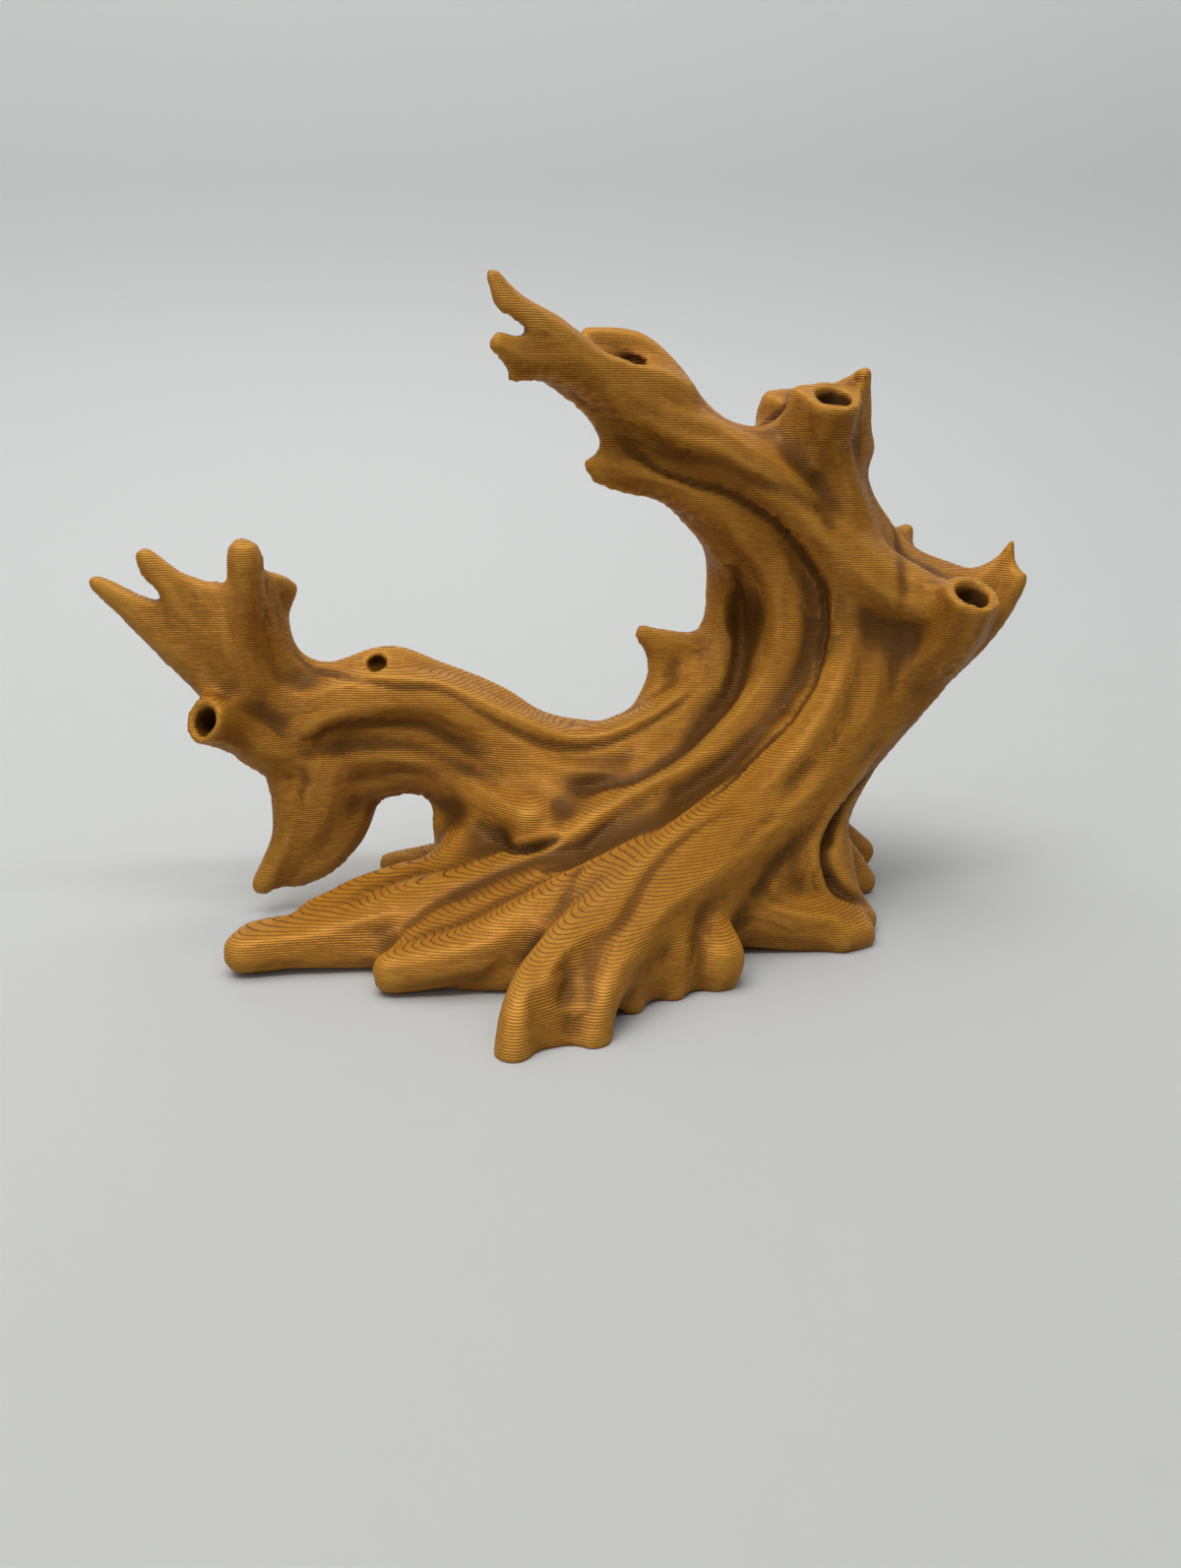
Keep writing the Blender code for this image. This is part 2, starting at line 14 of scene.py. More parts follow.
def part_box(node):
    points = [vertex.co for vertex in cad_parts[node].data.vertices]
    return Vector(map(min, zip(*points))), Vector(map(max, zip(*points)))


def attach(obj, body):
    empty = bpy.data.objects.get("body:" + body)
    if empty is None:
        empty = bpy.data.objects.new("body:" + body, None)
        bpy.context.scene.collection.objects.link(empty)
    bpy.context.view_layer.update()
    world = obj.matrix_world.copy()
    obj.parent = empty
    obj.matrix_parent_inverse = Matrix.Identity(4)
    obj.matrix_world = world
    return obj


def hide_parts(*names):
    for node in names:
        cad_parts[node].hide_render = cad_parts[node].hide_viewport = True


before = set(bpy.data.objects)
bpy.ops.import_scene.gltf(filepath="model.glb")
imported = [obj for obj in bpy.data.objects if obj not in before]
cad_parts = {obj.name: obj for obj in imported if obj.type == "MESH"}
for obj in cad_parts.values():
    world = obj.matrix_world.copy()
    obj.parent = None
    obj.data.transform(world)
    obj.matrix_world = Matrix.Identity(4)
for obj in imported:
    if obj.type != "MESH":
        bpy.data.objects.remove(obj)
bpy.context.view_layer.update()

MM = 0.001
TINY = 1e-9                     # keeps a division from failing on nothing
LAYER = 0.2 * MM                # height of one printed layer

STEPS_PER_SPAN = 4              # curve points between two places of a route
TIP_STEPS = (0.45, 0.8, 0.97)   # how a rounded end fills out to the full radius
TUBE_SIDES_LEVEL = 3            # bevel resolution of a strand
MERGE_DISTANCE = 0.01 * MM
VOXEL = 0.36 * MM               # fusing grid
PADDING = 0.9                   # strands are fused this much too thick, then thinned again
FUSE_ROUNDS = 8                 # smoothing rounds that blend strand into strand
THIN_STEPS = 4                  # the padding comes off in this many passes
EVEN_ROUNDS = 2                 # smoothing rounds after the hollows are cut

BORE_SIDES = 28
BORE_TAPER = 0.5                # inner radius of a stub's hollow against its mouth
BORE_OVERRUN = 1                # how far the plug stands out of the mouth, in millimetres
MOUTH_SPARE = 1.0               # a stub is made this much too long, then trimmed flat
TRIM_MARGIN = 1.2               # how much wider than the stub the trimming disc is
POCKET_SIDES = 24
POCKET_RINGS = 16
SLAB_WIDTH = 140 * MM           # the slab that cuts the underside flat
SLAB_DEPTH = 12 * MM

NEAR_SAMPLES = 5                # bits of strand that set the direction at a point
NEAR_SOFTNESS = 0.3
DIRECTION_ROUNDS = 12
GRAIN_STRICTNESS = 8            # how closely the grain keeps to the limb
GRAIN_LEAK = 0.004
GRAIN_HOLD = 0.3
# coarse and fine grain: rounds across the limb, rounds along it, seed, height in millimetres
GRAINS = ((8, 120, 3, 0.10), (1, 60, 4, 0.03))
# how wide a crease or an edge each measure sees, in smoothing rounds; the finish paints shade in the
# creases and highlight on the edges
HOLLOWS = {"hollow_small": 6, "hollow_large": 60, "hollow_broad": 400}

EYE = Vector((0, -100, 47))     # the camera's place, in millimetres of the routes
EYE_TILT = 72                   # its turn about X, in degrees
EYE_LENS = 27.57
EYE_FILM = 36
MARK_PLANE = 10                 # marks are drawn on an upright plane this far away
MARK_STEPS = 12                 # points between two places of a mark
MARK_SWAY = 0.06                # how far a ragged mark strays, in millimetres
MARK_UNEVEN = 0.6               # how much a ragged mark's depth varies
MARK_NOISE = 2.1
MARK_FADE = 14                  # points over which a mark starts and ends
MARK_REACH = 3.5                # widths within which a mark is felt
MARK_BOX = 4                    # widths within which points are looked at
GROOVE_SHADE_FULL_DEPTH = 0.5          # carved grooves this deep get the full painted shade
GROOVE_SHADE_CONTRAST = 1.5

SCAR_DEPTH = 0.16               # support scars, in millimetres
SCAR_COARSE = 1.7
SCAR_FINE = 3.9
SCAR_FINE_SHARE = 0.6
SCAR_TILT, SCAR_TILT_SPAN = 0.35, 0.4    # how far down a surface faces before it is scarred
SCAR_LIFT, SCAR_LIFT_SPAN = 1.0, 1.5     # how high above the table scars start

TRUNK_MASS = {
    "trunk": [(20, 14, 44, 3.5), (21.5, 16, 38, 4.6), (23.5, 17, 30, 5.8), (22, 16.5, 23, 6.3),
              (18, 13.5, 16, 6.8), (14, 8, 9, 6.8), (11, 2, 4, 5)],
    "inner_wall": [(11, 14, 40, 3.3), (16, 17, 35, 4), (17.5, 18, 28, 4.6), (15.5, 16.5, 22, 5.6),
                   (10, 12.5, 15, 5.8), (5, 5.5, 9, 5.8), (1, -2, 4, 4)],
    "right_flank": [(32.5, 12, 28, 3.2), (27.5, 13, 22, 4.2), (23, 13, 15, 4.2), (19, 12, 8, 4),
                    (18, 10, 3, 4)],
    "left_haunch": [(5, 10, 13, 4.5), (-3, 9, 11, 4), (-9, 5, 7, 4), (-14, 0, 4, 3)],
    "heart": [(16, 15, 14, 7), (14, 13, 8, 7), (12, 11, 4, 6)],
    "sole": [(16, 15, 2, 4.5), (13, 8, 2, 5.5), (7, 1, 2, 4.5), (2, -6, 2, 3.5)],
}

TRUNK_SINEWS = {
    "brow": [(2, 10.5, 41, 1.2), (6, 11.5, 40, 2), (10, 12, 38.3, 2.4), (13.5, 12.5, 36, 2.6),
             (17, 13, 32.5, 2.7), (18.7, 13, 28.5, 2.8), (18.8, 12.5, 25, 3), (17, 11, 20, 3.2),
             (12, 8, 15.5, 3.2), (5, 4, 12, 3), (-2, 0.5, 8.3, 2.6), (-9, -1.5, 5.5, 2.6),
             (-16, -3.2, 4, 2.4), (-23, -5, 3, 2), (-29, -6, 2, 2)],
    "inner": [(9.6, 14, 38.4, 1.7), (12.7, 15.5, 33.2, 1.9), (13, 15.5, 27, 2), (12, 14, 22.5, 2.2),
              (9, 11, 19, 2.3), (4, 8.5, 16.5, 2.3), (-2, 8, 15.5, 2.2), (-8, 7.5, 18, 2),
              (-14, 7.5, 21, 1.8), (-20, 7.5, 21.5, 1.7), (-25, 7.5, 20, 1.6)],
    "seam": [(3, 10, 46.2, 1.9), (9, 10.5, 43.5, 2.3), (14, 11, 41, 2.6), (18.5, 11.5, 37.5, 2.7),
             (22, 12, 33, 2.7), (23.8, 12, 28.5, 2.7), (23.5, 10.5, 23, 2.8),
             (20, 6.5, 17, 3), (14.5, 2.5, 12, 3), (8, -3, 9, 3), (2, -9, 6.5, 2.6),
             (-2.5, -14.5, 5, 2.1), (-5.1, -18.6, 3, 1.7), (-5.9, -20.8, 0, 1.6)],
    "middle": [(23, 12.5, 35, 2), (26, 11, 26, 2.4), (25, 8.5, 19, 2.8), (20, 4.5, 13, 3),
               (14, -0.5, 9.5, 2.8), (9, -5.5, 7.5, 2.5), (4, -11, 5.5, 2.2),
               (1, -16.5, 3, 1.8), (0.3, -18.8, 0, 1.6)],
    "outer": [(21.5, 12, 42, 2.2), (24.3, 12.5, 35, 2.3), (28, 11.5, 28, 2.8), (28, 10, 20, 3),
              (24, 8, 15.5, 3), (20, 4, 10.5, 2.8), (15, 0, 7, 2.6), (11, -5, 5.5, 2)],
    "right_edge": [(34.5, 8, 27, 2), (31.5, 10, 21.5, 2), (26.5, 9, 15.5, 2), (23, 7, 9.5, 1.7),
                   (21.7, 4, 4.5, 1.6), (23.2, 0.6, 2, 1.8), (24.3, -1.6, 1, 1.6)],
    "rear_edge": [(39.3, 10, 31, 0.8), (38.3, 11, 28.5, 1.3), (36, 12, 25, 1.7),
                  (32.3, 12, 21.4, 1.9), (28.8, 12.5, 17.3, 1.9), (25.5, 12, 12.8, 1.9),
                  (22.8, 10.5, 8.5, 1.7), (22, 9, 5, 1.5), (23.6, 4.6, 3, 1.4), (25.2, 1.4, 1, 1.5)],
    "inner_fill": [(9, 13, 38.3, 2.2), (12.5, 13.5, 35, 2.5), (14.8, 14, 31, 2.5), (15.6, 14.8, 27, 2)],
}

UPPER_BRANCH = {
    "spike": [(-8, 6.5, 56.4, 0.6), (-6.4, 7, 53.8, 1.4), (-3, 8, 51.4, 1.9), (0.5, 9, 48.8, 1.9),
              (4, 10.5, 46.3, 2.2), (12, 12, 41.5, 2.6)],
    "lobe": [(-7.7, 6.5, 51, 1), (-5, 7.5, 50, 1.5), (0, 9, 48.5, 1.9),
             (6, 11, 45, 2.5), (13, 13, 40, 3)],
    "slot_wall": [(-0.4, 12.4, 52.1, 0.7), (2, 12.7, 51.8, 1), (4.5, 12.9, 51.1, 1.2),
                  (7.2, 12.7, 48.5, 1.4), (9.3, 12.6, 45.4, 1.6), (12, 12.7, 43, 2),
                  (16, 13.4, 42, 2.2)],
    "underside": [(-6.3, 8, 49.3, 0.6), (-2.5, 9.5, 48.4, 1.1), (0.8, 10.8, 45.9, 1.5),
                  (2.6, 11.4, 43.7, 1.6), (8, 13, 40.5, 2.2)],
    "hook": [(-0.3, 9, 41.2, 0.5), (1.8, 10.5, 41.2, 1.3), (5, 12, 41, 2), (9, 13, 39.5, 2.4),
             (13, 14, 37.5, 2.6)],
    "hook_lip": [(0.5, 9.5, 40, 0.6), (3.5, 11, 39.2, 0.8), (8.3, 12.7, 38.5, 1),
                 (12.4, 15, 34.9, 1.2)],
    "slot_lip": [(-1, 8.5, 50, 0.9), (2, 9, 49.3, 0.9), (5.5, 10, 48.3, 1.2), (8, 11, 47, 1.5)],
    "slot_floor": [(-2, 10.5, 48, 1.4), (2, 11.5, 47.2, 1.8), (6, 12, 46.2, 2)],
    "lobe_nub": [(-6.9, 7.2, 48.1, 0.35), (-5, 7.8, 48.9, 0.8)],
    "slot_back": [(-0.5, 12.3, 50.2, 1), (2, 12.8, 49.8, 1.4), (5, 13, 49, 1.7)],
}

BAY_AND_ARM = {
    "bay_rim": [(9.3, 13.8, 37.7, 1.1), (12.8, 15.2, 32.3, 1.3), (13.2, 16, 28, 1.5), (11, 15, 21.5, 1.7),
                (6, 13, 17.5, 1.7), (1, 11, 15.5, 1.6)],
    "crest": [(1, 11, 15.5, 1.6), (-5, 10, 17, 1.6), (-9, 10, 19.3, 1.8), (-15, 10.5, 21.7, 1.7),
              (-19, 10.5, 23.2, 1.6), (-24.5, 10, 22, 1.3), (-28, 10, 23.5, 1.2),
              (-29, 10, 27, 1.1)],
    "arm_mass": [(2, 11, 13, 4), (-5, 10.5, 14.5, 3.8), (-11, 10, 17, 3.6), (-17, 9.5, 18.5, 3.4),
                 (-23, 9, 18.5, 3.2), (-28, 8.5, 19.5, 2.8), (-32, 7.5, 22.5, 2.4)],
    "arm_fold": [(-26, 6.5, 18, 1.5), (-21, 7, 20, 1.7), (-15, 7.5, 20, 1.8), (-9, 7, 17, 2),
                 (-4, 6, 13.5, 2.2), (2, 6, 13, 2.2), (8, 7.5, 15, 2.2)],
    "arm_belly": [(-22, 8.5, 11.8, 2), (-17, 8.5, 13.2, 2.4), (-12, 7.5, 12.6, 2.6),
                  (-8.6, 4.8, 11.2, 2.5), (-5.4, 1.6, 10.7, 2.1)],
    "horn": [(5, 13, 25.3, 0.9), (6.3, 13.5, 24.4, 1.5), (9, 14.3, 23.3, 2)],
    "horn_foot": [(6.5, 13.5, 24, 1), (6.5, 13, 21, 1.3), (5.5, 12.5, 18.5, 1.4)],
    "neck": [(-12, 10, 11, 2.6), (-12.5, 8, 7.5, 2.5), (-12, 4, 5, 3)],
    "arm_fill": [(-25, 8.5, 15.5, 2.6), (-18, 8.5, 15.5, 3), (-11, 8, 14.5, 3), (-5, 6, 12.5, 3),
                 (0, 4, 9.5, 3)],
    "belly_back": [(-13, 7, 8, 2.2), (-8, 6, 8.5, 2.5), (-3, 5, 8.5, 2.5)],
}

HAND = {
    "finger_low": [(-43.3, 5, 31.4, 0.8), (-41, 5.5, 29.5, 1.4), (-38, 6, 26.5, 1.8),
                   (-34, 7, 22, 2.2)],
    "finger_mid": [(-38.9, 5.5, 33.5, 1), (-37, 6, 30.8, 1.6), (-34.5, 6.5, 26, 2),
                   (-31, 7.5, 21, 2.4)],
    "finger_top": [(-30.3, 6, 33.6, 1.7), (-30.6, 6.6, 30.3, 1.8), (-30.8, 7.6, 26, 1.8),
                   (-30, 8.5, 21, 2.2)],
    "web_low": [(-39.3, 5.8, 28.6, 1), (-36.5, 6.3, 25.5, 1.8), (-33, 7, 21.5, 2.2)],
    "web_high": [(-35.2, 6.2, 31, 0.9), (-33.5, 6.6, 27, 2), (-31.5, 7, 22, 2.4)],
    "palm": [(-33, 6.2, 30, 1.4), (-32.5, 6.8, 25, 2), (-31, 7.5, 20, 2.2)],
    "palm_heel": [(-29.8, 8, 29.5, 1.2), (-29.8, 8.5, 25, 1.5), (-28, 9, 21, 2)],
    "finger_link": [(-30, 8, 31.3, 1.1), (-28.3, 10.5, 30.3, 1)],
    "finger_back": [(-27.8, 11, 30, 0.9), (-29, 10.5, 28, 1.2), (-29.8, 9.5, 25, 1.4)],
    "spur": [(-27.5, 8, 14.5, 2.8), (-27.8, 7, 10.5, 2.4), (-28.5, 6.2, 6.8, 1.9), (-31, 5, 3, 1.2)],
    "spur_back": [(-22, 9.5, 13.3, 2.6), (-22.6, 9, 10, 2.2), (-23.5, 8, 7.3, 2),
                  (-25.7, 7, 4.9, 1.8), (-28.3, 6.2, 3.4, 1.3)],
    "plate_one": [(-35.7, 6.2, 28, 1.2), (-34, 6.6, 25, 2), (-31, 7.5, 20, 2.4)],
    "plate_two": [(-32.5, 6.1, 30, 1.4), (-32.4, 6.3, 26.5, 2.1), (-31, 7, 22, 2.4)],
    "spur_fill": [(-24.5, 8, 14, 2.8), (-25, 7.5, 10.5, 2.4), (-26.5, 6.8, 7.5, 1.9), (-28.5, 6, 5, 1.5)],
}

CROWN_AND_SHOULDER = {
    "stub_lip": [(19, 12, 44, 1.6), (18.5, 11.5, 47, 0.9)],
    "left_stub_top": [(18, 17, 42, 2.4), (17, 16.5, 45, 1.9), (16.9, 16, 46.2, 1.4)],
    "tall_spike": [(23.7, 14.5, 41, 2.2), (23.9, 14, 45, 1.8), (24.1, 13.6, 47.4, 1.4),
                   (24.5, 13, 48.7, 0.8)],
    "spike_shoulder": [(22.8, 14.5, 44, 1.6), (23, 14, 47.2, 1.2)],
    "shoulder": [(23, 14, 43, 2.2), (24.5, 15, 37.5, 2.2), (29, 15, 31.3, 2.8),
                 (34, 14, 29.3, 2.7)],
    "shoulder_nub": [(29.5, 17.5, 32.5, 1.6), (30.5, 17.5, 34.5, 0.9)],
    "arm_spike": [(33, 13, 28, 2.6), (36.5, 12.5, 30, 2), (38.2, 12, 32, 1.2),
                  (38.7, 11.5, 34, 0.5)],
    "crown_fill": [(15.5, 13.8, 42.4, 1.9), (21, 14.5, 42.9, 2.6), (24, 15, 42.3, 2.4)],
    "arm_front": [(22.5, 11.8, 34.5, 2.8), (26, 11, 31, 3.2), (30, 10, 29, 3), (32.4, 8.6, 28.8, 2.3)],
    "left_stub_side": [(19, 16, 42, 2.2), (18.6, 15.7, 46.4, 1.4)],
}

FRONT_ROOTS = {
    "left_root": [(0, 2, 5.5, 4), (-8, -0.5, 4, 3.4), (-15, -3.5, 4, 3), (-22, -5.5, 2.5, 2.4),
                  (-29.5, -7.2, 1.8, 2)],
    "left_root_crest": [(0, 3, 7.5, 2.8), (-7, 2, 6, 2.2), (-14, 1, 5.3, 2), (-19, -1, 5, 1.8),
                        (-24, -4, 3.5, 1.8)],
    "second_root": [(8, -1, 8, 3.4), (2, -5, 7, 3), (-4, -8, 5.2, 2.8), (-10, -10, 3, 2.4),
                    (-16.3, -10.8, 1.7, 1.9)],
    "second_fill": [(2, -6, 4, 3.5), (-5, -9.5, 2, 2.4), (-10, -10, 1, 1.5)],
    "left_fill": [(-12, -5, 2, 2.5), (-20, -6.3, 1.6, 1.7), (-25, -7, 1.6, 1.4)],
    "front_fill": [(6, -2, 5, 4), (1, -8, 3.5, 3.5), (-1.4, -14, 2, 2.7), (-3, -18.4, 0.5, 1.9)],
    "fold_left": [(5.5, -9, 6.5, 1.4), (4, -12.5, 4, 1.2), (3.3, -14, 0.5, 1.2)],
    "fold_right": [(8, -7, 7, 1.5), (7, -10.5, 4, 1.3), (6.7, -11.8, 0.5, 1.2)],
    "fold_fill": [(9, -3, 4, 3.4), (5, -10, 2, 3.2)],
    "knob": [(10.4, -4, 7.5, 0.9), (10.4, -6.5, 5, 1.3), (10.9, -9, 2.5, 2.2), (10.4, -9.3, 0.5, 2)],
    "knob_fill": [(11, 0, 3, 3.5), (9, -7, 2, 3)],
    "foot_web": [(12, -1.5, 3, 3.2), (16, -1.4, 2.5, 3.2), (20.8, -1.2, 1.5, 2.8)],
    "right_foot": [(20, 6, 7, 3.5), (20.8, 1.8, 3, 3), (22.4, -2, 1, 2.2)],
    "foot_fill": [(20, 8, 14, 3.5), (19, 5, 9, 4), (19, 2.5, 5, 4), (19, 1.5, 2, 3.5)],
    "foot_fill_two": [(16, 3, 9, 3.5), (15, 0, 5, 3.5), (15, -0.5, 2, 2.8)],
    "front_web": [(2, -9, 5.5, 2.8), (-1, -14, 4, 2.2), (-2.8, -18, 1.8, 1.8)],
    "foot_fill_three": [(21, 5.5, 9, 3), (21.5, 3.5, 6, 3), (22.5, 1.5, 3, 2.6)],
    "root_web": [(-4, -4, 5.6, 2.6), (-10, -6, 3.8, 2.4), (-15, -7.5, 2.4, 2)],
}

REAR = {
    "near_toe": [(22, 13, 6, 2.6), (25.3, 11.5, 2.5, 2), (26.8, 10.5, 1, 1.7)],
    "far_toe": [(22, 17, 6, 2.6), (26.4, 16.5, 3, 1.9), (27.9, 16, 2, 1.7)],
    "rear_left_root": [(-2, 10, 7, 3.6), (-9, 11, 4.5, 2.8), (-15, 13.5, 2.2, 2), (-20, 15.5, 1, 1.3),
                       (-21, 16, 0.8, 1.1)],
    "spine_left": [(14, 17, 40, 2), (17, 20, 34, 2.4), (18, 21, 27, 2.8), (15, 20, 20, 3.2),
                   (10, 18, 13, 3.4), (5, 17, 7, 3.2), (0, 19, 3, 2.4), (-5, 22, 1, 1.8)],
    "spine_middle": [(18, 17, 44, 2), (22, 20, 38, 2.5), (24, 22, 31, 3), (23, 22, 24, 3.2),
                     (20, 21, 16, 3.4), (17, 21, 9, 3.4), (14, 23, 4, 2.8), (11, 27, 1, 2)],
    "spine_right": [(23.5, 17, 40, 2), (25.5, 19, 33, 2.4), (27, 19, 27, 2.8), (25, 19, 19, 3),
                    (21, 19, 12, 3), (18.5, 20, 6, 2.6), (20, 24, 1, 1.8)],
    "rear_arm": [(3, 15, 11, 3.4), (-4, 13.5, 13, 3), (-12, 12.5, 16.5, 2.6),
                 (-20, 12, 18, 2.3), (-27, 10.5, 19, 2)],
}

# broken-off stubs with a hollow end: route from root to mouth, radius of the hollow, its depth
HOLLOW_STUBS = {
    "front_stub": ([(21, 13.5, 39, 3), (21, 12, 43.2, 2.8), (21.3, 10.2, 46.9, 2.7)], 1.85, 6),
    "left_stub": ([(-27, 8, 14.5, 2.8), (-29.8, 6.8, 16, 2.7), (-32.4, 5.2, 18.2, 2.3),
                   (-34.1, 1.8, 19.8, 2.15)], 1.5, 5),
    "right_stub": ([(28, 12, 20, 3), (31.3, 9.7, 23.5, 2.9), (33.2, 7.4, 26.9, 2.8),
                    (33.8, 5.4, 30.4, 2.6)], 1.8, 6),
}

# pockets and notches: place, half lengths, turn about Y in degrees
POCKETS = {
    "slot_pocket": ((2.4, 10.2, 50.7), (3.2, 0.9, 1.5), 12),
    "slot_hole": ((3.7, 10.4, 49.9), (1.6, 1.7, 0.6), 14),
    "spike_notch": ((-8.6, 6.5, 53.4), (3.9, 5, 0.8), 25),
    "finger_notch_low": ((-40.4, 5.5, 31.5), (3.2, 4, 0.9), 34),
    "finger_notch_high": ((-32.6, 6, 32.2), (0.7, 3, 1.2), 0),
    "crest_pocket": ((-19.8, 8.6, 23.3), (1.0, 1.7, 0.75), 0),
}

# marks on the front, as (across, up) on the marking plane; then width, depth in millimetres
# (a negative depth raises a ridge) and how ragged the mark is, from 0 to 1
MARKS = {
    "seam_crack": ([(2.6, 43.3), (5.4, 41), (8.9, 39.5), (11.8, 38.8), (14.2, 37.6), (16.6, 36),
                    (18.6, 34), (20.1, 32), (21.3, 30), (21.8, 27), (21.6, 24.7), (21.2, 21.7),
                    (19.9, 19), (18.3, 16.8), (16, 14.4), (13.2, 11.2), (10.5, 9.3)],
                   0.3, 0.4, 0.6),
    "inner_valley": ([(12.6, 32.5), (13.4, 30.5), (13.9, 26), (13.8, 23), (13, 20),
                      (11, 17.4), (8.3, 14.6), (3.8, 12), (-2, 10.6)], 0.9, 0.8, 0.2),
    "inner_ridge": ([(12.4, 37), (13.6, 34.7), (15.4, 31.9), (16.3, 29), (16.2, 26), (15.6, 23.4),
                     (14.3, 19.4)], 0.8, -0.2, 0),
    "band_ridge": ([(17.7, 37), (20.8, 34.7), (23, 31.9), (24, 28.8), (24, 24.7), (23.3, 21.7),
                    (22.4, 18.7), (20.2, 14.8), (17, 11)], 1.0, -0.15, 0),
    "flank_groove": ([(27, 36), (28, 34.5), (28.8, 30.5), (28.8, 27.5)], 0.6, 0.35, 0),
    "crest_line": ([(-27.8, 27), (-27.4, 24.2), (-25.3, 22.5), (-22.6, 21.9), (-18.4, 20.9),
                    (-14, 20.5), (-10, 18.1), (-7, 16.4), (-3.8, 15.2), (0, 15.1), (3.7, 16.3),
                    (8.3, 19.2), (11, 22.5)], 0.5, 0.28, 0.2),
    "arm_line": ([(-26.9, 15.1), (-24.9, 16.7), (-21.3, 17.3), (-18.5, 17.2), (-15, 16.6),
                  (-11.3, 14.3), (-8, 12)], 0.6, 0.2, 0.2),
    "belly_line": ([(-25.4, 13.4), (-23.9, 14.5), (-20, 15), (-15.8, 14.5), (-11.5, 12.5),
                    (-8.8, 10.8)], 0.9, 0.35, 0.2),
    "arch_line": ([(-22.3, 11), (-20.3, 12), (-17.3, 12.5), (-14, 11), (-12, 8.5)], 0.7, 0.12, 0),
    "spur_line": ([(-28.3, 14.5), (-27.7, 11.6), (-28.7, 9), (-29.8, 7)], 0.6, 0.12, 0.3),
    "hand_edge": ([(-28.9, 32.4), (-28.9, 29.4), (-28.1, 26)], 0.45, -0.25, 0),
    "flank_cut_high": ([(26.6, 17.4), (24.4, 14.6), (23, 12.4)], 0.6, 0.22, 0.4),
    "flank_cut_mid": ([(21.7, 13.8), (19.6, 11.4), (17.5, 7.7)], 0.7, 0.2, 0.4),
    "flank_cut_low": ([(19.8, 8.5), (17.3, 7.5), (15, 5), (13.2, 3.4)], 0.7, 0.2, 0.4),
    "foot_cut": ([(21, 6.5), (19, 3.7), (15.8, -0.9), (13.9, -2.7)], 0.8, 0.2, 0.3),
    "apron_line": ([(11.2, 13), (4.8, 9.5), (0.9, 6.4), (-1.8, 1.4), (-3.5, -3)], 0.7, 0.3, 0.2),
    "apron_fold": ([(15.3, 9.5), (9.8, 6.4), (5.9, 2), (3.2, -3), (0.2, -5.9)], 0.6, 0.3, 0.2),
    "flute_left": ([(-5.5, -7.4), (-6, -12), (-6.1, -16)], 0.8, 0.3, 0.1),
    "flute_mid": ([(-2.2, -5.7), (-2.3, -11.3), (-2.5, -16.4)], 0.9, 0.35, 0.1),
    "flute_right": ([(0, -6.2), (-0.1, -11.5), (-0.2, -16)], 0.8, 0.3, 0.1),
    "root_valley": ([(-22, -7.4), (-19.9, -5.2), (-15.7, -1.5), (-10.2, 1.4), (-6.8, 2.8),
                     (-1.9, 4.6), (3.8, 7.4)], 0.7, 0.15, 0.2),
    "branch_line": ([(4.4, 44.5), (7.3, 42.2), (11.7, 40.9), (14.4, 39.5), (17.7, 38.6),
                     (20.8, 37.2), (22.2, 35)], 0.8, 0.3, 0.2),
    "branch_fold": ([(2.6, 47.9), (4.6, 45.8), (8, 44.5), (11.6, 43.6), (14.7, 41.7)],
                    0.7, 0.22, 0.3),
    "flange_gap": ([(30.9, 16.8), (27.5, 12.8), (24.6, 8.5), (23.4, 4.6), (24.5, 0.6),
                    (27.9, -1.2)], 0.6, 1.4, 0.1),
    "flange_edge": ([(30.2, 17.5), (26.4, 13.2), (23.4, 8.7), (22.1, 4.6), (23.2, -0.2)],
                    0.6, -0.3, 0),
    "belly_slit": ([(-9.4, 5.4), (-7.4, 4.7), (-5.2, 5), (-3, 5.9)], 0.45, 1.3, 0),
    "stub_gap": ([(17.4, 47.6), (17, 46.2), (16.2, 45.2), (15, 44.6)], 0.45, 0.7, 0.1),
    "stub_foot": ([(17, 42.2), (20, 39.7), (22.1, 36.9)], 0.8, 0.35, 0.2),
}


# ---------------------------------------------------------------- bpy.ops helpers

def deselect_all():
    if bpy.context.object and bpy.context.object.mode != "OBJECT":
        bpy.ops.object.mode_set(mode="OBJECT")
    bpy.ops.object.select_all(action="DESELECT")


def pick(piece):
    deselect_all()
    piece.select_set(True)
    bpy.context.view_layer.objects.active = piece


def apply_modifier(piece, kind, **settings):
    pick(piece)
    step = piece.modifiers.new(kind.lower(), kind)
    for name, value in settings.items():
        setattr(step, name, value)
    bpy.ops.object.modifier_apply(modifier=step.name)


# ---------------------------------------------------------------- strands

def between(before, start, end, after, share):
    """Catmull-Rom: the smooth curve through four neighbouring places."""
    def blend(p, q, r, s):
        return 0.5 * (2 * q + (r - p) * share + (2 * p - 5 * q + 4 * r - s) * share ** 2
                      + (3 * q - p - 3 * r + s) * share ** 3)
    return tuple(blend(*four) for four in zip(before, start, end, after))


def smooth_route(route, steps=STEPS_PER_SPAN):
    padded = [route[0], *route, route[-1]]
    points = []
    for four in zip(padded, padded[1:], padded[2:], padded[3:]):
        points += [between(*four, step / steps) for step in range(steps)]
    points.append(route[-1])
    return points


def rounded_end(point, neighbour):
    """Points that close a strand with a round end, outermost first."""
    place, radius = Vector(point[:3]), point[3]
    outward = (place - Vector(neighbour[:3])).normalized()
    ends = []
    for fill in TIP_STEPS:
        reach = radius * math.sqrt(1 - fill * fill)
        ends.append((*(place + outward * reach), radius * fill))
    return ends


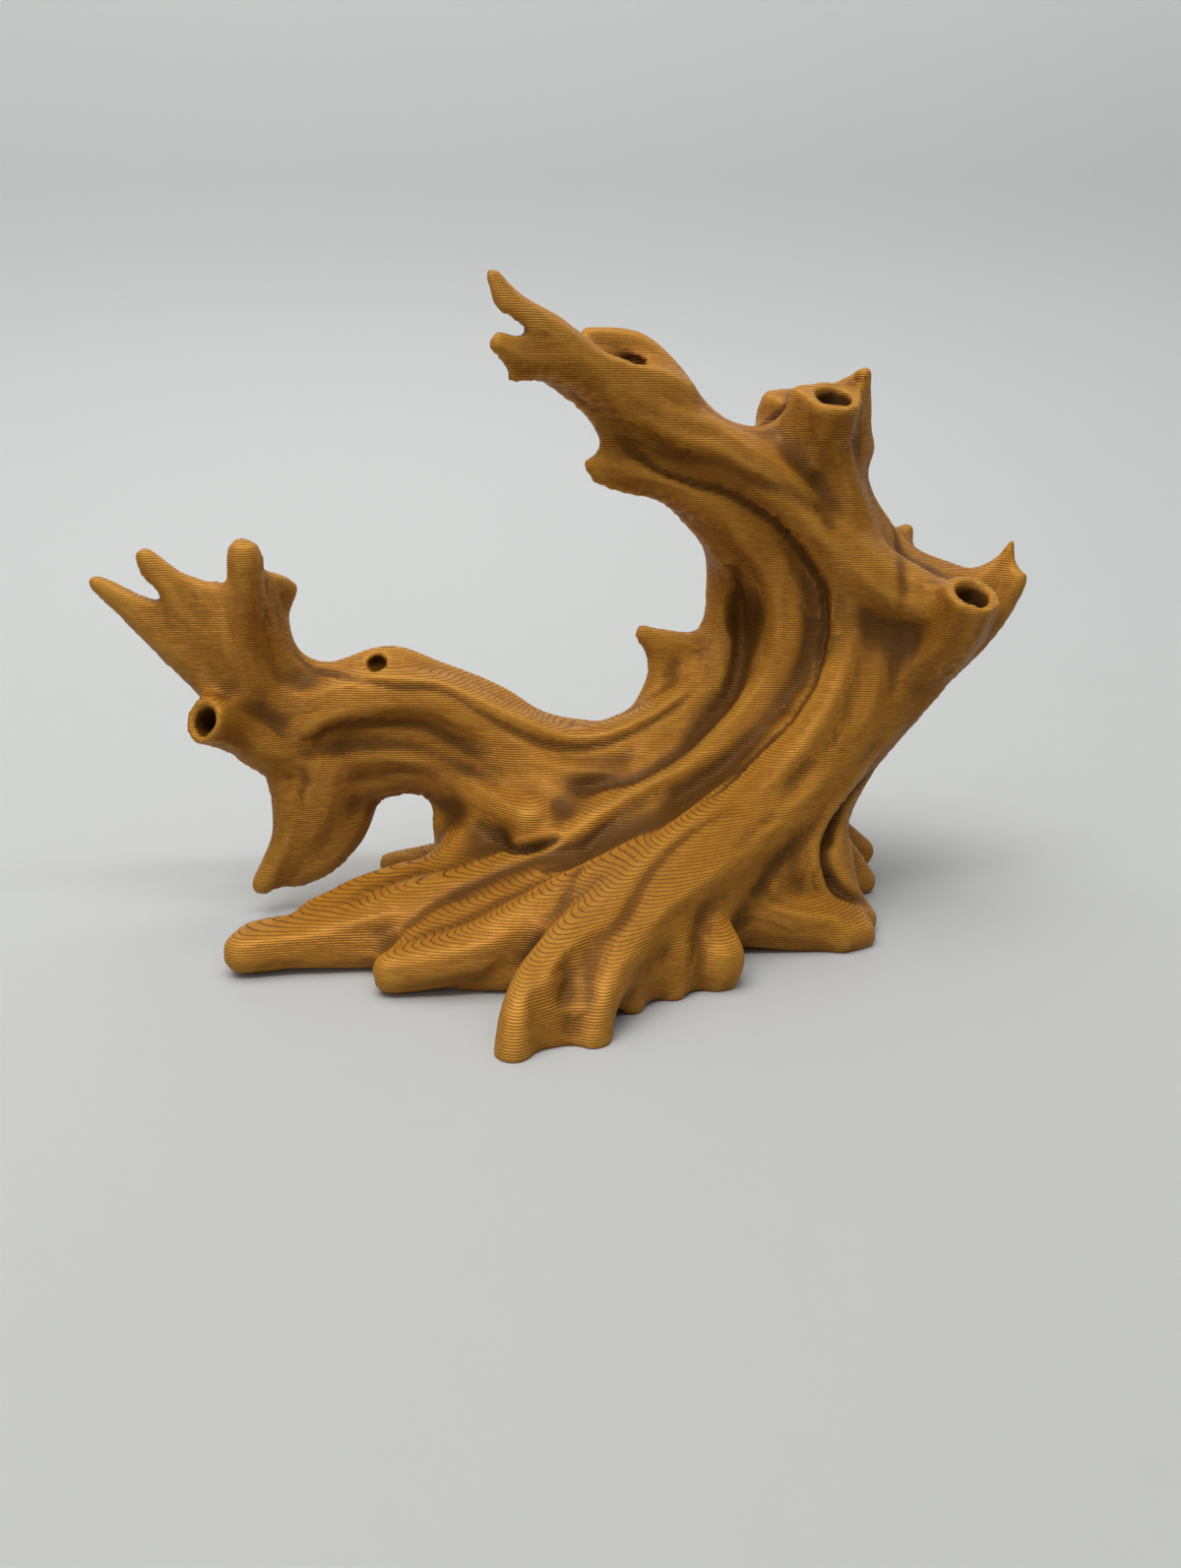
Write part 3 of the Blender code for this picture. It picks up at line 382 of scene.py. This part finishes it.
def padded_mouth(point, neighbour):
    """A flat end, moved out by the padding that comes off it later."""
    place = Vector(point[:3])
    outward = (place - Vector(neighbour[:3])).normalized()
    return (*(place + outward * (PADDING + MOUTH_SPARE)), point[3])


def add_strand(curve, route, open_mouth=False):
    body = [(*point[:3], point[3] + PADDING) for point in smooth_route(route)]
    head = rounded_end(body[0], body[1])
    tail = [padded_mouth(body[-1], body[-2])] if open_mouth else rounded_end(body[-1], body[-2])
    points = head + body + tail[::-1]
    spline = curve.splines.new("POLY")
    spline.points.add(len(points) - 1)
    for spot, (across, away, up, radius) in zip(spline.points, points):
        spot.co = (across * MM, away * MM, up * MM, 1)
        spot.radius = radius


def every_route():
    """The routes with two round ends, and the routes of the hollow stubs."""
    groups = (TRUNK_MASS, TRUNK_SINEWS, UPPER_BRANCH, BAY_AND_ARM, HAND, CROWN_AND_SHOULDER,
              FRONT_ROOTS, REAR)
    routes = [route for group in groups for route in group.values()]
    return routes, [route for route, _, _ in HOLLOW_STUBS.values()]


def strand_bundle(name):
    """All strands as one mesh of closed tubes."""
    deselect_all()
    bpy.ops.curve.primitive_nurbs_path_add(location=(0, 0, 0))
    bundle = bpy.context.object
    bundle.name = name
    curve = bundle.data
    curve.splines.clear()
    curve.dimensions = "3D"
    curve.bevel_depth = MM
    curve.bevel_resolution = TUBE_SIDES_LEVEL
    curve.use_fill_caps = True
    closed, open_ended = every_route()
    for route in closed:
        add_strand(curve, route)
    for route in open_ended:
        add_strand(curve, route, open_mouth=True)
    pick(bundle)
    bpy.ops.object.convert(target="MESH")
    bpy.ops.object.mode_set(mode="EDIT")
    bpy.ops.mesh.select_all(action="SELECT")
    bpy.ops.mesh.remove_doubles(threshold=MERGE_DISTANCE)
    bpy.ops.object.mode_set(mode="OBJECT")
    return bundle


def fuse(bundle):
    """Melt the strands into one body; the padding fills the valleys between them."""
    apply_modifier(bundle, "REMESH", mode="VOXEL", voxel_size=VOXEL)
    apply_modifier(bundle, "SMOOTH", factor=0.5, iterations=FUSE_ROUNDS)
    for _ in range(THIN_STEPS):
        apply_modifier(bundle, "DISPLACE", strength=-PADDING / THIN_STEPS * MM, mid_level=0.0)
        apply_modifier(bundle, "SMOOTH", factor=0.5, iterations=1)


def even_out(body):
    """A fresh even grid after the hollows are cut."""
    apply_modifier(body, "REMESH", mode="VOXEL", voxel_size=VOXEL)
    apply_modifier(body, "SMOOTH", factor=0.5, iterations=EVEN_ROUNDS)


# ---------------------------------------------------------------- cutters

def mouth_and_direction(route):
    """Where a stub ends, and the way it faces there."""
    mouth, inner = Vector(route[-1][:3]), Vector(route[-2][:3])
    return mouth, (mouth - inner).normalized()


def bore_cutter(spec):
    """A tapered plug that hollows a stub from its mouth inwards."""
    route, radius, depth = spec
    mouth, outward = mouth_and_direction(route)
    middle = mouth + outward * (BORE_OVERRUN - depth / 2)
    deselect_all()
    bpy.ops.mesh.primitive_cone_add(vertices=BORE_SIDES, radius1=radius * BORE_TAPER * MM,
                                    radius2=radius * MM, depth=depth * MM, location=middle * MM,
                                    rotation=outward.to_track_quat("Z", "Y").to_euler())
    return bpy.context.object


def mouth_trimmer(spec):
    """A disc that cuts the end of a stub flat."""
    route = spec[0]
    mouth, outward = mouth_and_direction(route)
    thick = 3 * MOUTH_SPARE
    deselect_all()
    bpy.ops.mesh.primitive_cylinder_add(vertices=BORE_SIDES,
                                        radius=(route[-1][3] + TRIM_MARGIN) * MM, depth=thick * MM,
                                        location=(mouth + outward * thick / 2) * MM,
                                        rotation=outward.to_track_quat("Z", "Y").to_euler())
    return bpy.context.object


def pocket_cutter(spec):
    """A squashed ball that presses a small hollow or notch."""
    (across, away, up), halves, turn = spec
    deselect_all()
    bpy.ops.mesh.primitive_uv_sphere_add(segments=POCKET_SIDES, ring_count=POCKET_RINGS, radius=MM,
                                         location=(across * MM, away * MM, up * MM),
                                         rotation=(0, math.radians(turn), 0), scale=halves)
    return bpy.context.object


def base_cutter():
    """A slab that cuts everything under the table level."""
    deselect_all()
    bpy.ops.mesh.primitive_cube_add(size=1, location=(0, 0, -SLAB_DEPTH / 2),
                                    scale=(SLAB_WIDTH, SLAB_WIDTH, SLAB_DEPTH))
    return bpy.context.object


def cut(body, cutter):
    apply_modifier(body, "BOOLEAN", operation="DIFFERENCE", solver="MANIFOLD", object=cutter)
    bpy.data.objects.remove(cutter, do_unlink=True)


# ---------------------------------------------------------------- carving

class Skin:
    """The body's points, normals and edges as arrays, in millimetres."""

    def __init__(self, body):
        self.body = body
        mesh = body.data
        count = len(mesh.vertices)
        self.points = np.empty(count * 3)
        mesh.vertices.foreach_get("co", self.points)
        self.points = self.points.reshape(-1, 3) / MM
        edges = np.empty(len(mesh.edges) * 2, dtype=np.int64)
        mesh.edges.foreach_get("vertices", edges)
        self.edges = edges.reshape(-1, 2)
        self.refresh()

    def refresh(self):
        """Write the points back and read the new normals."""
        mesh = self.body.data
        mesh.vertices.foreach_set("co", (self.points * MM).ravel())
        mesh.update()
        normals = np.empty(len(self.points) * 3)
        mesh.vertices.foreach_get("normal", normals)
        self.normals = normals.reshape(-1, 3)

    def spread(self, values, rounds, weights=None, hold=0.0):
        """Average values with their neighbours; weights favour some edges."""
        one, two = self.edges.T
        pull = np.ones(len(self.edges)) if weights is None else weights
        count = len(self.points)
        total = np.bincount(one, pull, count) + np.bincount(two, pull, count) + hold + TINY
        flat = values.reshape(count, -1).astype(float)
        for _ in range(rounds):
            fresh = np.empty_like(flat)
            for column in range(flat.shape[1]):
                lane = flat[:, column]
                fresh[:, column] = (np.bincount(one, pull * lane[two], count)
                                    + np.bincount(two, pull * lane[one], count)
                                    + hold * lane) / total
            flat = fresh
        return flat.reshape(values.shape)

    def push(self, amounts):
        """Move the points along their normals."""
        self.points += self.normals * amounts[:, None]
        self.refresh()

    def store(self, name, values):
        """Keep a value for each point, for the finish to read."""
        layer = self.body.data.attributes.new(name, "FLOAT", "POINT")
        layer.data.foreach_set("value", values.astype(np.float32))


def strand_samples():
    """Short bits of every strand: middle, direction and radius."""
    closed, open_ended = every_route()
    samples = []
    for route in closed + open_ended:
        points = smooth_route(route)
        for before, after in zip(points, points[1:]):
            start, end = Vector(before[:3]), Vector(after[:3])
            samples.append(((start + end) / 2, (end - start).normalized(), (before[3] + after[3]) / 2))
    return samples


def limb_direction(skin):
    """For each point, the direction in which its limb runs, lying in the surface."""
    samples = strand_samples()
    tree = kdtree.KDTree(len(samples))
    for index, (place, _, _) in enumerate(samples):
        tree.insert(place, index)
    tree.balance()
    tensor = np.zeros((len(skin.points), 3, 3))
    for row, point in enumerate(skin.points):
        for place, index, distance in tree.find_n(point, NEAR_SAMPLES):
            _, along, radius = samples[index]
            share = 1 / (NEAR_SOFTNESS + max(0.0, distance - radius)) ** 2
            tensor[row] += share * np.outer(along, along)
    tensor /= np.trace(tensor, axis1=1, axis2=2)[:, None, None]
    tensor = skin.spread(tensor, DIRECTION_ROUNDS, hold=1.0)
    along = np.linalg.eigh(tensor)[1][:, :, 2]
    along -= skin.normals * np.sum(along * skin.normals, axis=1)[:, None]
    return along / (np.linalg.norm(along, axis=1)[:, None] + TINY)


def grain(skin, along, width_rounds, length_rounds, seed):
    """Random streaks drawn out along the limbs, scaled to about -1..1."""
    start, end = skin.edges.T
    steps = skin.points[end] - skin.points[start]
    steps /= np.linalg.norm(steps, axis=1)[:, None] + TINY
    with_limb = np.abs(np.sum(steps * (along[start] + along[end]) / 2, axis=1))
    pull = with_limb ** GRAIN_STRICTNESS + GRAIN_LEAK
    values = np.random.default_rng(seed).standard_normal(len(skin.points))
    values = skin.spread(values, width_rounds, hold=1.0)
    values = skin.spread(values, length_rounds, weights=pull, hold=GRAIN_HOLD)
    return values / (np.std(values) * 2 + TINY)


def raise_grain(skin):
    along = limb_direction(skin)
    skin.push(sum(height * grain(skin, along, width_rounds, length_rounds, seed)
                  for width_rounds, length_rounds, seed, height in GRAINS))


def hollowness(skin, rounds):
    """Positive in creases, negative on edges."""
    even = skin.spread(skin.points, rounds, hold=1.0)
    return np.sum((even - skin.points) * skin.normals, axis=1)


def drawn_line(skin_tree, places, raggedness, seed):
    """A mark's places dropped on to the front of the body, close together."""
    flat = [(across, MARK_PLANE, up, 0) for across, up in places]
    chance = np.random.default_rng(seed)
    line = []
    for across, away, up, _ in smooth_route(flat, MARK_STEPS):
        sway = chance.normal(0, MARK_SWAY * raggedness, 2)
        ray = (Vector((across + sway[0], away, up + sway[1])) - EYE).normalized()
        hit = skin_tree.ray_cast(EYE, ray)[0]
        if hit is not None:
            line.append(hit)
    return line


def carve_marks(skin):
    """Carve or raise each mark; gives back how deep each point was carved."""
    faces = [tuple(face.vertices) for face in skin.body.data.polygons]
    tree = bvhtree.BVHTree.FromPolygons([Vector(point) for point in skin.points], faces)
    total = np.zeros(len(skin.points))
    for seed, (places, width, depth, raggedness) in enumerate(MARKS.values()):
        line = drawn_line(tree, places, raggedness, seed)
        near = kdtree.KDTree(len(line))
        for index, spot in enumerate(line):
            near.insert(spot, index)
        near.balance()
        low = np.min(line, axis=0) - MARK_BOX * width
        high = np.max(line, axis=0) + MARK_BOX * width
        inside = np.all((skin.points > low) & (skin.points < high), axis=1)
        for row in np.nonzero(inside)[0]:
            _, index, distance = near.find(skin.points[row])
            if distance > MARK_REACH * width:
                continue
            ends = min(1.0, (index + 1) / MARK_FADE, (len(line) - index) / MARK_FADE)
            bite = 1 + raggedness * MARK_UNEVEN * noise.noise(Vector(line[index]) * MARK_NOISE)
            total[row] += depth * bite * ends * math.exp(-(distance / width) ** 2)
    skin.push(-total)
    return np.clip(total, 0, None)


def rough_underside(skin):
    """Sagged loops and support scars where the surface faces down, clear of the table."""
    facing = np.clip((-skin.normals[:, 2] - SCAR_TILT) / SCAR_TILT_SPAN, 0, 1)
    lifted = np.clip((skin.points[:, 2] - SCAR_LIFT) / SCAR_LIFT_SPAN, 0, 1)
    scars = np.array([noise.noise(Vector(point) * SCAR_COARSE)
                      + SCAR_FINE_SHARE * noise.noise(Vector(point) * SCAR_FINE)
                      for point in skin.points])
    skin.push(facing * lifted * scars * SCAR_DEPTH)


def carve(body):
    skin = Skin(body)
    raise_grain(skin)
    cracks = carve_marks(skin)
    rough_underside(skin)
    # painted shade: the carved grooves are darkened by their depth
    skin.store("groove_shade", np.clip(cracks / GROOVE_SHADE_FULL_DEPTH, 0, 1) ** GROOVE_SHADE_CONTRAST)
    for name, rounds in HOLLOWS.items():
        skin.store(name, hollowness(skin, rounds))


def settle(body):
    """Move the body on to the CAD box, shrunk to it where it is a little larger."""
    mesh = body.data
    points = np.empty(len(mesh.vertices) * 3)
    mesh.vertices.foreach_get("co", points)
    points = points.reshape(-1, 3)
    cad_low, cad_high = (np.array(corner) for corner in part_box("dry_root"))
    low, high = points.min(axis=0), points.max(axis=0)
    shrink = np.minimum(1, (cad_high - cad_low) / (high - low))
    shift = (cad_low + cad_high) / 2 - (low + high) / 2
    points = (points - (low + high) / 2) * shrink + (cad_low + cad_high) / 2
    points[:, 2] += cad_low[2] - points[:, 2].min()
    mesh.vertices.foreach_set("co", points.ravel())
    mesh.update()
    return Vector(shift)


# ---------------------------------------------------------------- finishes

class Nodes:
    """Short hands for placing and joining shader nodes."""

    def __init__(self, finish):
        finish.use_nodes = True
        self.tree = finish.node_tree
        self.shader = self.tree.nodes["Principled BSDF"]

    def put(self, socket, value):
        if isinstance(value, bpy.types.NodeSocket):
            self.tree.links.new(value, socket)
        elif value is not None:
            socket.default_value = value

    def add(self, kind, **settings):
        node = self.tree.nodes.new(kind)
        for name, value in settings.items():
            setattr(node, name, value)
        return node

    def math(self, operation, one, two=None):
        node = self.add("ShaderNodeMath", operation=operation)
        self.put(node.inputs[0], one)
        self.put(node.inputs[1], two)
        return node.outputs[0]

    def ramp(self, value, low, high, to_low=0.0, to_high=1.0):
        node = self.add("ShaderNodeMapRange", interpolation_type="SMOOTHSTEP")
        for socket, entry in zip(node.inputs, (value, low, high, to_low, to_high)):
            self.put(socket, entry)
        return node.outputs[0]

    def mix(self, share, one, two):
        node = self.add("ShaderNodeMix", data_type="RGBA", blend_type="MIX")
        self.put(node.inputs["Factor"], share)
        self.put(node.inputs[6], one)
        self.put(node.inputs[7], two)
        return node.outputs[2]

    def attribute(self, name):
        return self.add("ShaderNodeAttribute", attribute_name=name).outputs["Fac"]

    def place(self):
        return self.add("ShaderNodeTexCoord").outputs["Object"]

    def split(self, vector):
        node = self.add("ShaderNodeSeparateXYZ")
        self.put(node.inputs[0], vector)
        return node.outputs

    def join(self, x, y, z):
        node = self.add("ShaderNodeCombineXYZ")
        for socket, entry in zip(node.inputs, (x, y, z)):
            self.put(socket, entry)
        return node.outputs[0]

    def cloud(self, vector, scale, detail=2.0, roughness=0.5):
        node = self.add("ShaderNodeTexNoise")
        self.put(node.inputs["Vector"], vector)
        node.inputs["Scale"].default_value = scale
        node.inputs["Detail"].default_value = detail
        node.inputs["Roughness"].default_value = roughness
        return node.outputs["Fac"]


GOLD_BROWN = (0.46, 0.18, 0.014, 1)
# random blotches of tone, and painted shade in creases and on faces that look down
TONE_AND_SHADE_ORANGE = (0.2, 0.076, 0.006, 1)
# painted silky sheen along the streaks and painted highlight on edges
SHEEN_AND_HIGHLIGHT_GOLD = (0.68, 0.315, 0.035, 1)
# painted glints
GLINT_GOLD = (0.85, 0.55, 0.22, 1)
# painted shade: darkens creases, hollows, layer grooves and carved grooves
SHADE_BROWN = (0.12, 0.045, 0.004, 1)
STREAK_SHEEN_SHARE = 0.4              # how much the streaks lighten the plastic: tone that differs from layer to layer, and painted silky sheen
# share of the painted glints on the specks
GLINT_SHARE = 0.35
# share of the painted shade in carved grooves
GROOVE_SHADE_SHARE = 0.8

# each tint: what it follows, where it starts, where it is full, its share there, its colour; the blotches
# are the plastic's own tone that differs at random, the rest paint shade or highlight
TONE_AND_PAINTED_LIGHT = (
    ("blotches", 0.35, 0.7, 0.2, TONE_AND_SHADE_ORANGE),
    # painted shade in creases
    ("hollow_large", 0.0, 0.5, 0.75, TONE_AND_SHADE_ORANGE),
    ("hollow_large", 0.15, 0.8, 0.7, SHADE_BROWN),
    # painted shade on faces that look down
    ("upness", 0.15, -0.6, 0.5, TONE_AND_SHADE_ORANGE),
    # painted shade in broad hollows and in small creases
    ("hollow_broad", 0.0, 0.6, 0.85, SHADE_BROWN),
    ("hollow_small", 0.0, 0.06, 0.5, SHADE_BROWN),
    # painted highlight on edges
    ("hollow_small", -0.02, -0.10, 0.5, SHEEN_AND_HIGHLIGHT_GOLD),
    # painted shade in the grooves between layers
    ("bead", 0.65, 0.0, 0.9, SHADE_BROWN),
)

LAYER_WANDER = 0.2              # how far a layer line strays, in layers
WANDER_SCALE = 500
BLOTCH_SCALE = 130
STREAK_SCALE = 800              # streaks and specks are drawn anew in each layer
STREAK_STEP = 3.71
SPECK_SCALE = 3000
SPECK_STEP = 5.3
BEAD_HEIGHT = 0.065 * MM        # how far a layer bulges on a wall
TREAD_DROP = 0.16 * MM          # how far a layer's tread drops on a slope
DULL, BRIGHT = 0.52, 0.42       # roughness between the streaks and on them
SPECK_GLOSS = 0.15
SILK = 0.3                      # the metallic share of silky plastic
PLASTIC_IOR = 1.46
PLASTIC_SPECULAR = 0.28


def printed_layers(n, place, z):
    """The number of the layer, the height within it from 0 to 1, and its bulge."""
    wander = n.math("MULTIPLY", n.math("SUBTRACT", n.cloud(place, WANDER_SCALE), 0.5), LAYER_WANDER)
    layers = n.math("ADD", n.math("DIVIDE", z, LAYER), wander)
    share = n.math("FRACT", layers)
    middle = n.math("SUBTRACT", n.math("MULTIPLY", share, 2), 1)
    bead = n.math("SUBTRACT", 1, n.math("MULTIPLY", middle, middle))
    return n.math("FLOOR", layers), share, bead


def layer_cloud(n, x, y, number, scale, step, detail, roughness=0.5):
    """A cloud along the layer that changes from one layer to the next."""
    place = n.join(n.math("MULTIPLY", x, scale), n.math("MULTIPLY", y, scale),
                   n.math("MULTIPLY", number, step))
    return n.cloud(place, 1, detail, roughness)


def colour_with_painted_light(n, follows, streaks, specks):
    # streaks: tone that differs from layer to layer, and painted silky sheen
    colour = n.mix(n.ramp(streaks, 0, 1, 0, STREAK_SHEEN_SHARE), GOLD_BROWN, SHEEN_AND_HIGHLIGHT_GOLD)
    # random blotches of tone, then painted shade in creases, hollows, layer grooves and under the limbs,
    # and painted highlight on edges
    for name, start, full, share, tint in TONE_AND_PAINTED_LIGHT:
        value = follows[name] if name in follows else n.attribute(name)
        colour = n.mix(n.ramp(value, start, full, 0, share), colour, tint)
    # painted glints: pale gold specks
    colour = n.mix(n.math("MULTIPLY", specks, GLINT_SHARE), colour, GLINT_GOLD)
    # painted shade in carved grooves
    return n.mix(n.math("MULTIPLY", n.attribute("groove_shade"), GROOVE_SHADE_SHARE), colour, SHADE_BROWN)


def layer_relief(n, share, bead, streaks, upness):
    """Beads on steep walls, treads on slopes."""
    sloping = n.ramp(upness, 0.35, 0.9)
    steep = n.math("SUBTRACT", 1, sloping)
    uneven = n.math("ADD", 0.8, n.math("MULTIPLY", streaks, 0.4))
    on_walls = n.math("MULTIPLY", n.math("MULTIPLY", bead, uneven),
                      n.math("MULTIPLY", steep, BEAD_HEIGHT))
    on_slopes = n.math("MULTIPLY", share, n.math("MULTIPLY", sloping, -TREAD_DROP))
    bump = n.add("ShaderNodeBump")
    bump.inputs["Strength"].default_value = 1.0
    bump.inputs["Distance"].default_value = 1.0
    n.put(bump.inputs["Height"], n.math("ADD", on_walls, on_slopes))
    return bump.outputs[0]


def printed_gold_brown():
    """Silky gold-brown plastic, printed in level layers, with painted shade in creases, hollows, layer
    grooves and on faces that look down, and painted sheen, edge highlights and glints.
    """
    finish = bpy.data.materials.new("printed_gold_brown")
    n = Nodes(finish)
    place = n.place()
    x, y, z = n.split(place)
    upness = n.split(n.add("ShaderNodeNewGeometry").outputs["Normal"])[2]
    number, share, bead = printed_layers(n, place, z)
    streaks = n.ramp(layer_cloud(n, x, y, number, STREAK_SCALE, STREAK_STEP, 3, 0.65), 0.36, 0.66)
    # specks: painted glints and glossier spots, only on faces that do not look down
    specks = n.ramp(layer_cloud(n, x, y, number, SPECK_SCALE, SPECK_STEP, 1), 0.76, 0.84)
    specks = n.math("MULTIPLY", specks, n.ramp(upness, -0.5, 0.2))
    follows = {"blotches": n.cloud(place, BLOTCH_SCALE, 3), "upness": upness, "bead": bead}

    n.put(n.shader.inputs["Base Color"], colour_with_painted_light(n, follows, streaks, specks))
    gloss = n.math("SUBTRACT", n.ramp(streaks, 0, 1, DULL, BRIGHT),
                   n.math("MULTIPLY", specks, SPECK_GLOSS))
    n.put(n.shader.inputs["Roughness"], gloss)
    n.put(n.shader.inputs["Normal"], layer_relief(n, share, bead, streaks, upness))
    n.shader.inputs["Metallic"].default_value = SILK
    n.shader.inputs["IOR"].default_value = PLASTIC_IOR
    n.shader.inputs["Specular IOR Level"].default_value = PLASTIC_SPECULAR
    return finish


PAPER_PALE = (0.55, 0.55, 0.54, 1)
PAPER_SHADE = (0.51, 0.52, 0.525, 1)


def plain_paper():
    """Matt pale paper with a faint cloudiness."""
    finish = bpy.data.materials.new("plain_paper")
    n = Nodes(finish)
    shade = n.ramp(n.cloud(n.place(), 3, 2), 0.3, 0.7, 0.0, 0.06)
    n.put(n.shader.inputs["Base Color"], n.mix(shade, PAPER_PALE, PAPER_SHADE))
    n.shader.inputs["Roughness"].default_value = 0.6
    return finish


# ---------------------------------------------------------------- the piece

def make_root():
    """Build the root; gives back how far it moved from the routes to the CAD's place."""
    body = strand_bundle("gold_brown_root")
    fuse(body)
    for spec in HOLLOW_STUBS.values():
        cut(body, mouth_trimmer(spec))
        cut(body, bore_cutter(spec))
    for spec in POCKETS.values():
        cut(body, pocket_cutter(spec))
    even_out(body)
    carve(body)
    cut(body, base_cutter())
    shift = settle(body)
    body.data.materials.clear()
    body.data.materials.append(printed_gold_brown())
    pick(body)
    bpy.ops.object.shade_smooth()
    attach(body, "root")
    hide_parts("dry_root")
    return shift


# ---------------------------------------------------------------- floor, light and camera

# the sheet, in metres: where it starts, where it bends, the bend's radius, its top, half its width
SWEEP_FRONT = -0.6
SWEEP_BEND = 0.085
SWEEP_RADIUS = 0.09
SWEEP_TOP = 0.8
SWEEP_HALF = 0.9
SWEEP_STEPS = 12

TABLE_CENTRE = (0, 0, 0.02)
# each light, in metres and watts: place, size, power, tint, what it points at
LIGHTS = {
    "roof_panel": ((-0.12, 0.0, 0.55), (0.5, 0.45), 2.2, (1.0, 0.99, 0.97), TABLE_CENTRE),
    "front_fill": ((-0.4, -0.5, 0.3), (0.7, 0.5), 0.62, (0.96, 0.98, 1.0), TABLE_CENTRE),
    "wall_wash": ((0.05, -0.15, 0.5), (0.7, 0.25), 2.9, (0.93, 0.98, 1.0), (0, 0.18, 0.5)),
}
ROOM_TINT = (0.86, 0.9, 0.95, 1)
ROOM_STRENGTH = 0.16


def make_sweep():
    """A pale sheet that lies flat and curves up behind."""
    profile = [(SWEEP_FRONT, 0.0), (0.0, 0.0), (SWEEP_BEND, 0.0)]
    for step in range(1, SWEEP_STEPS + 1):
        turn = math.radians(90 * step / SWEEP_STEPS)
        profile.append((SWEEP_BEND + SWEEP_RADIUS * math.sin(turn),
                        SWEEP_RADIUS * (1 - math.cos(turn))))
    profile.append((SWEEP_BEND + SWEEP_RADIUS, SWEEP_TOP))
    verts = [(side * SWEEP_HALF, away, up) for away, up in profile for side in (-1, 1)]
    faces = [(2 * k, 2 * k + 1, 2 * k + 3, 2 * k + 2) for k in range(len(profile) - 1)]
    mesh = bpy.data.meshes.new("sweep")
    mesh.from_pydata(verts, [], faces)
    sweep = bpy.data.objects.new("sweep", mesh)
    bpy.context.scene.collection.objects.link(sweep)
    mesh.materials.append(plain_paper())
    for face in mesh.polygons:
        face.use_smooth = True


def add_light(name, place, size, power, tint, target):
    lamp = bpy.data.lights.new(name, "AREA")
    lamp.shape = "RECTANGLE"
    lamp.size, lamp.size_y = size
    lamp.energy = power
    lamp.color = tint
    holder = bpy.data.objects.new(name, lamp)
    bpy.context.scene.collection.objects.link(holder)
    holder.location = place
    holder.rotation_euler = (Vector(target) - Vector(place)).to_track_quat("-Z", "Y").to_euler()


def make_lights():
    for name, settings in LIGHTS.items():
        add_light(name, *settings)
    world = bpy.data.worlds.new("soft_room")
    bpy.context.scene.world = world
    world.use_nodes = True
    sky = world.node_tree.nodes["Background"]
    sky.inputs["Color"].default_value = ROOM_TINT
    sky.inputs["Strength"].default_value = ROOM_STRENGTH


def make_camera(shift):
    lens = bpy.data.cameras.new("camera")
    lens.sensor_width = EYE_FILM
    lens.lens = EYE_LENS
    lens.clip_start = 0.002
    lens.clip_end = 10
    camera = bpy.data.objects.new("camera", lens)
    bpy.context.scene.collection.objects.link(camera)
    camera.location = EYE * MM + shift
    camera.rotation_euler = (math.radians(EYE_TILT), 0, 0)
    bpy.context.scene.camera = camera


to_row = make_root()
make_sweep()
make_lights()
make_camera(Vector((to_row.x, to_row.y, 0)))
bpy.context.scene.view_settings.view_transform = "Standard"

bpy.context.view_layer.update()
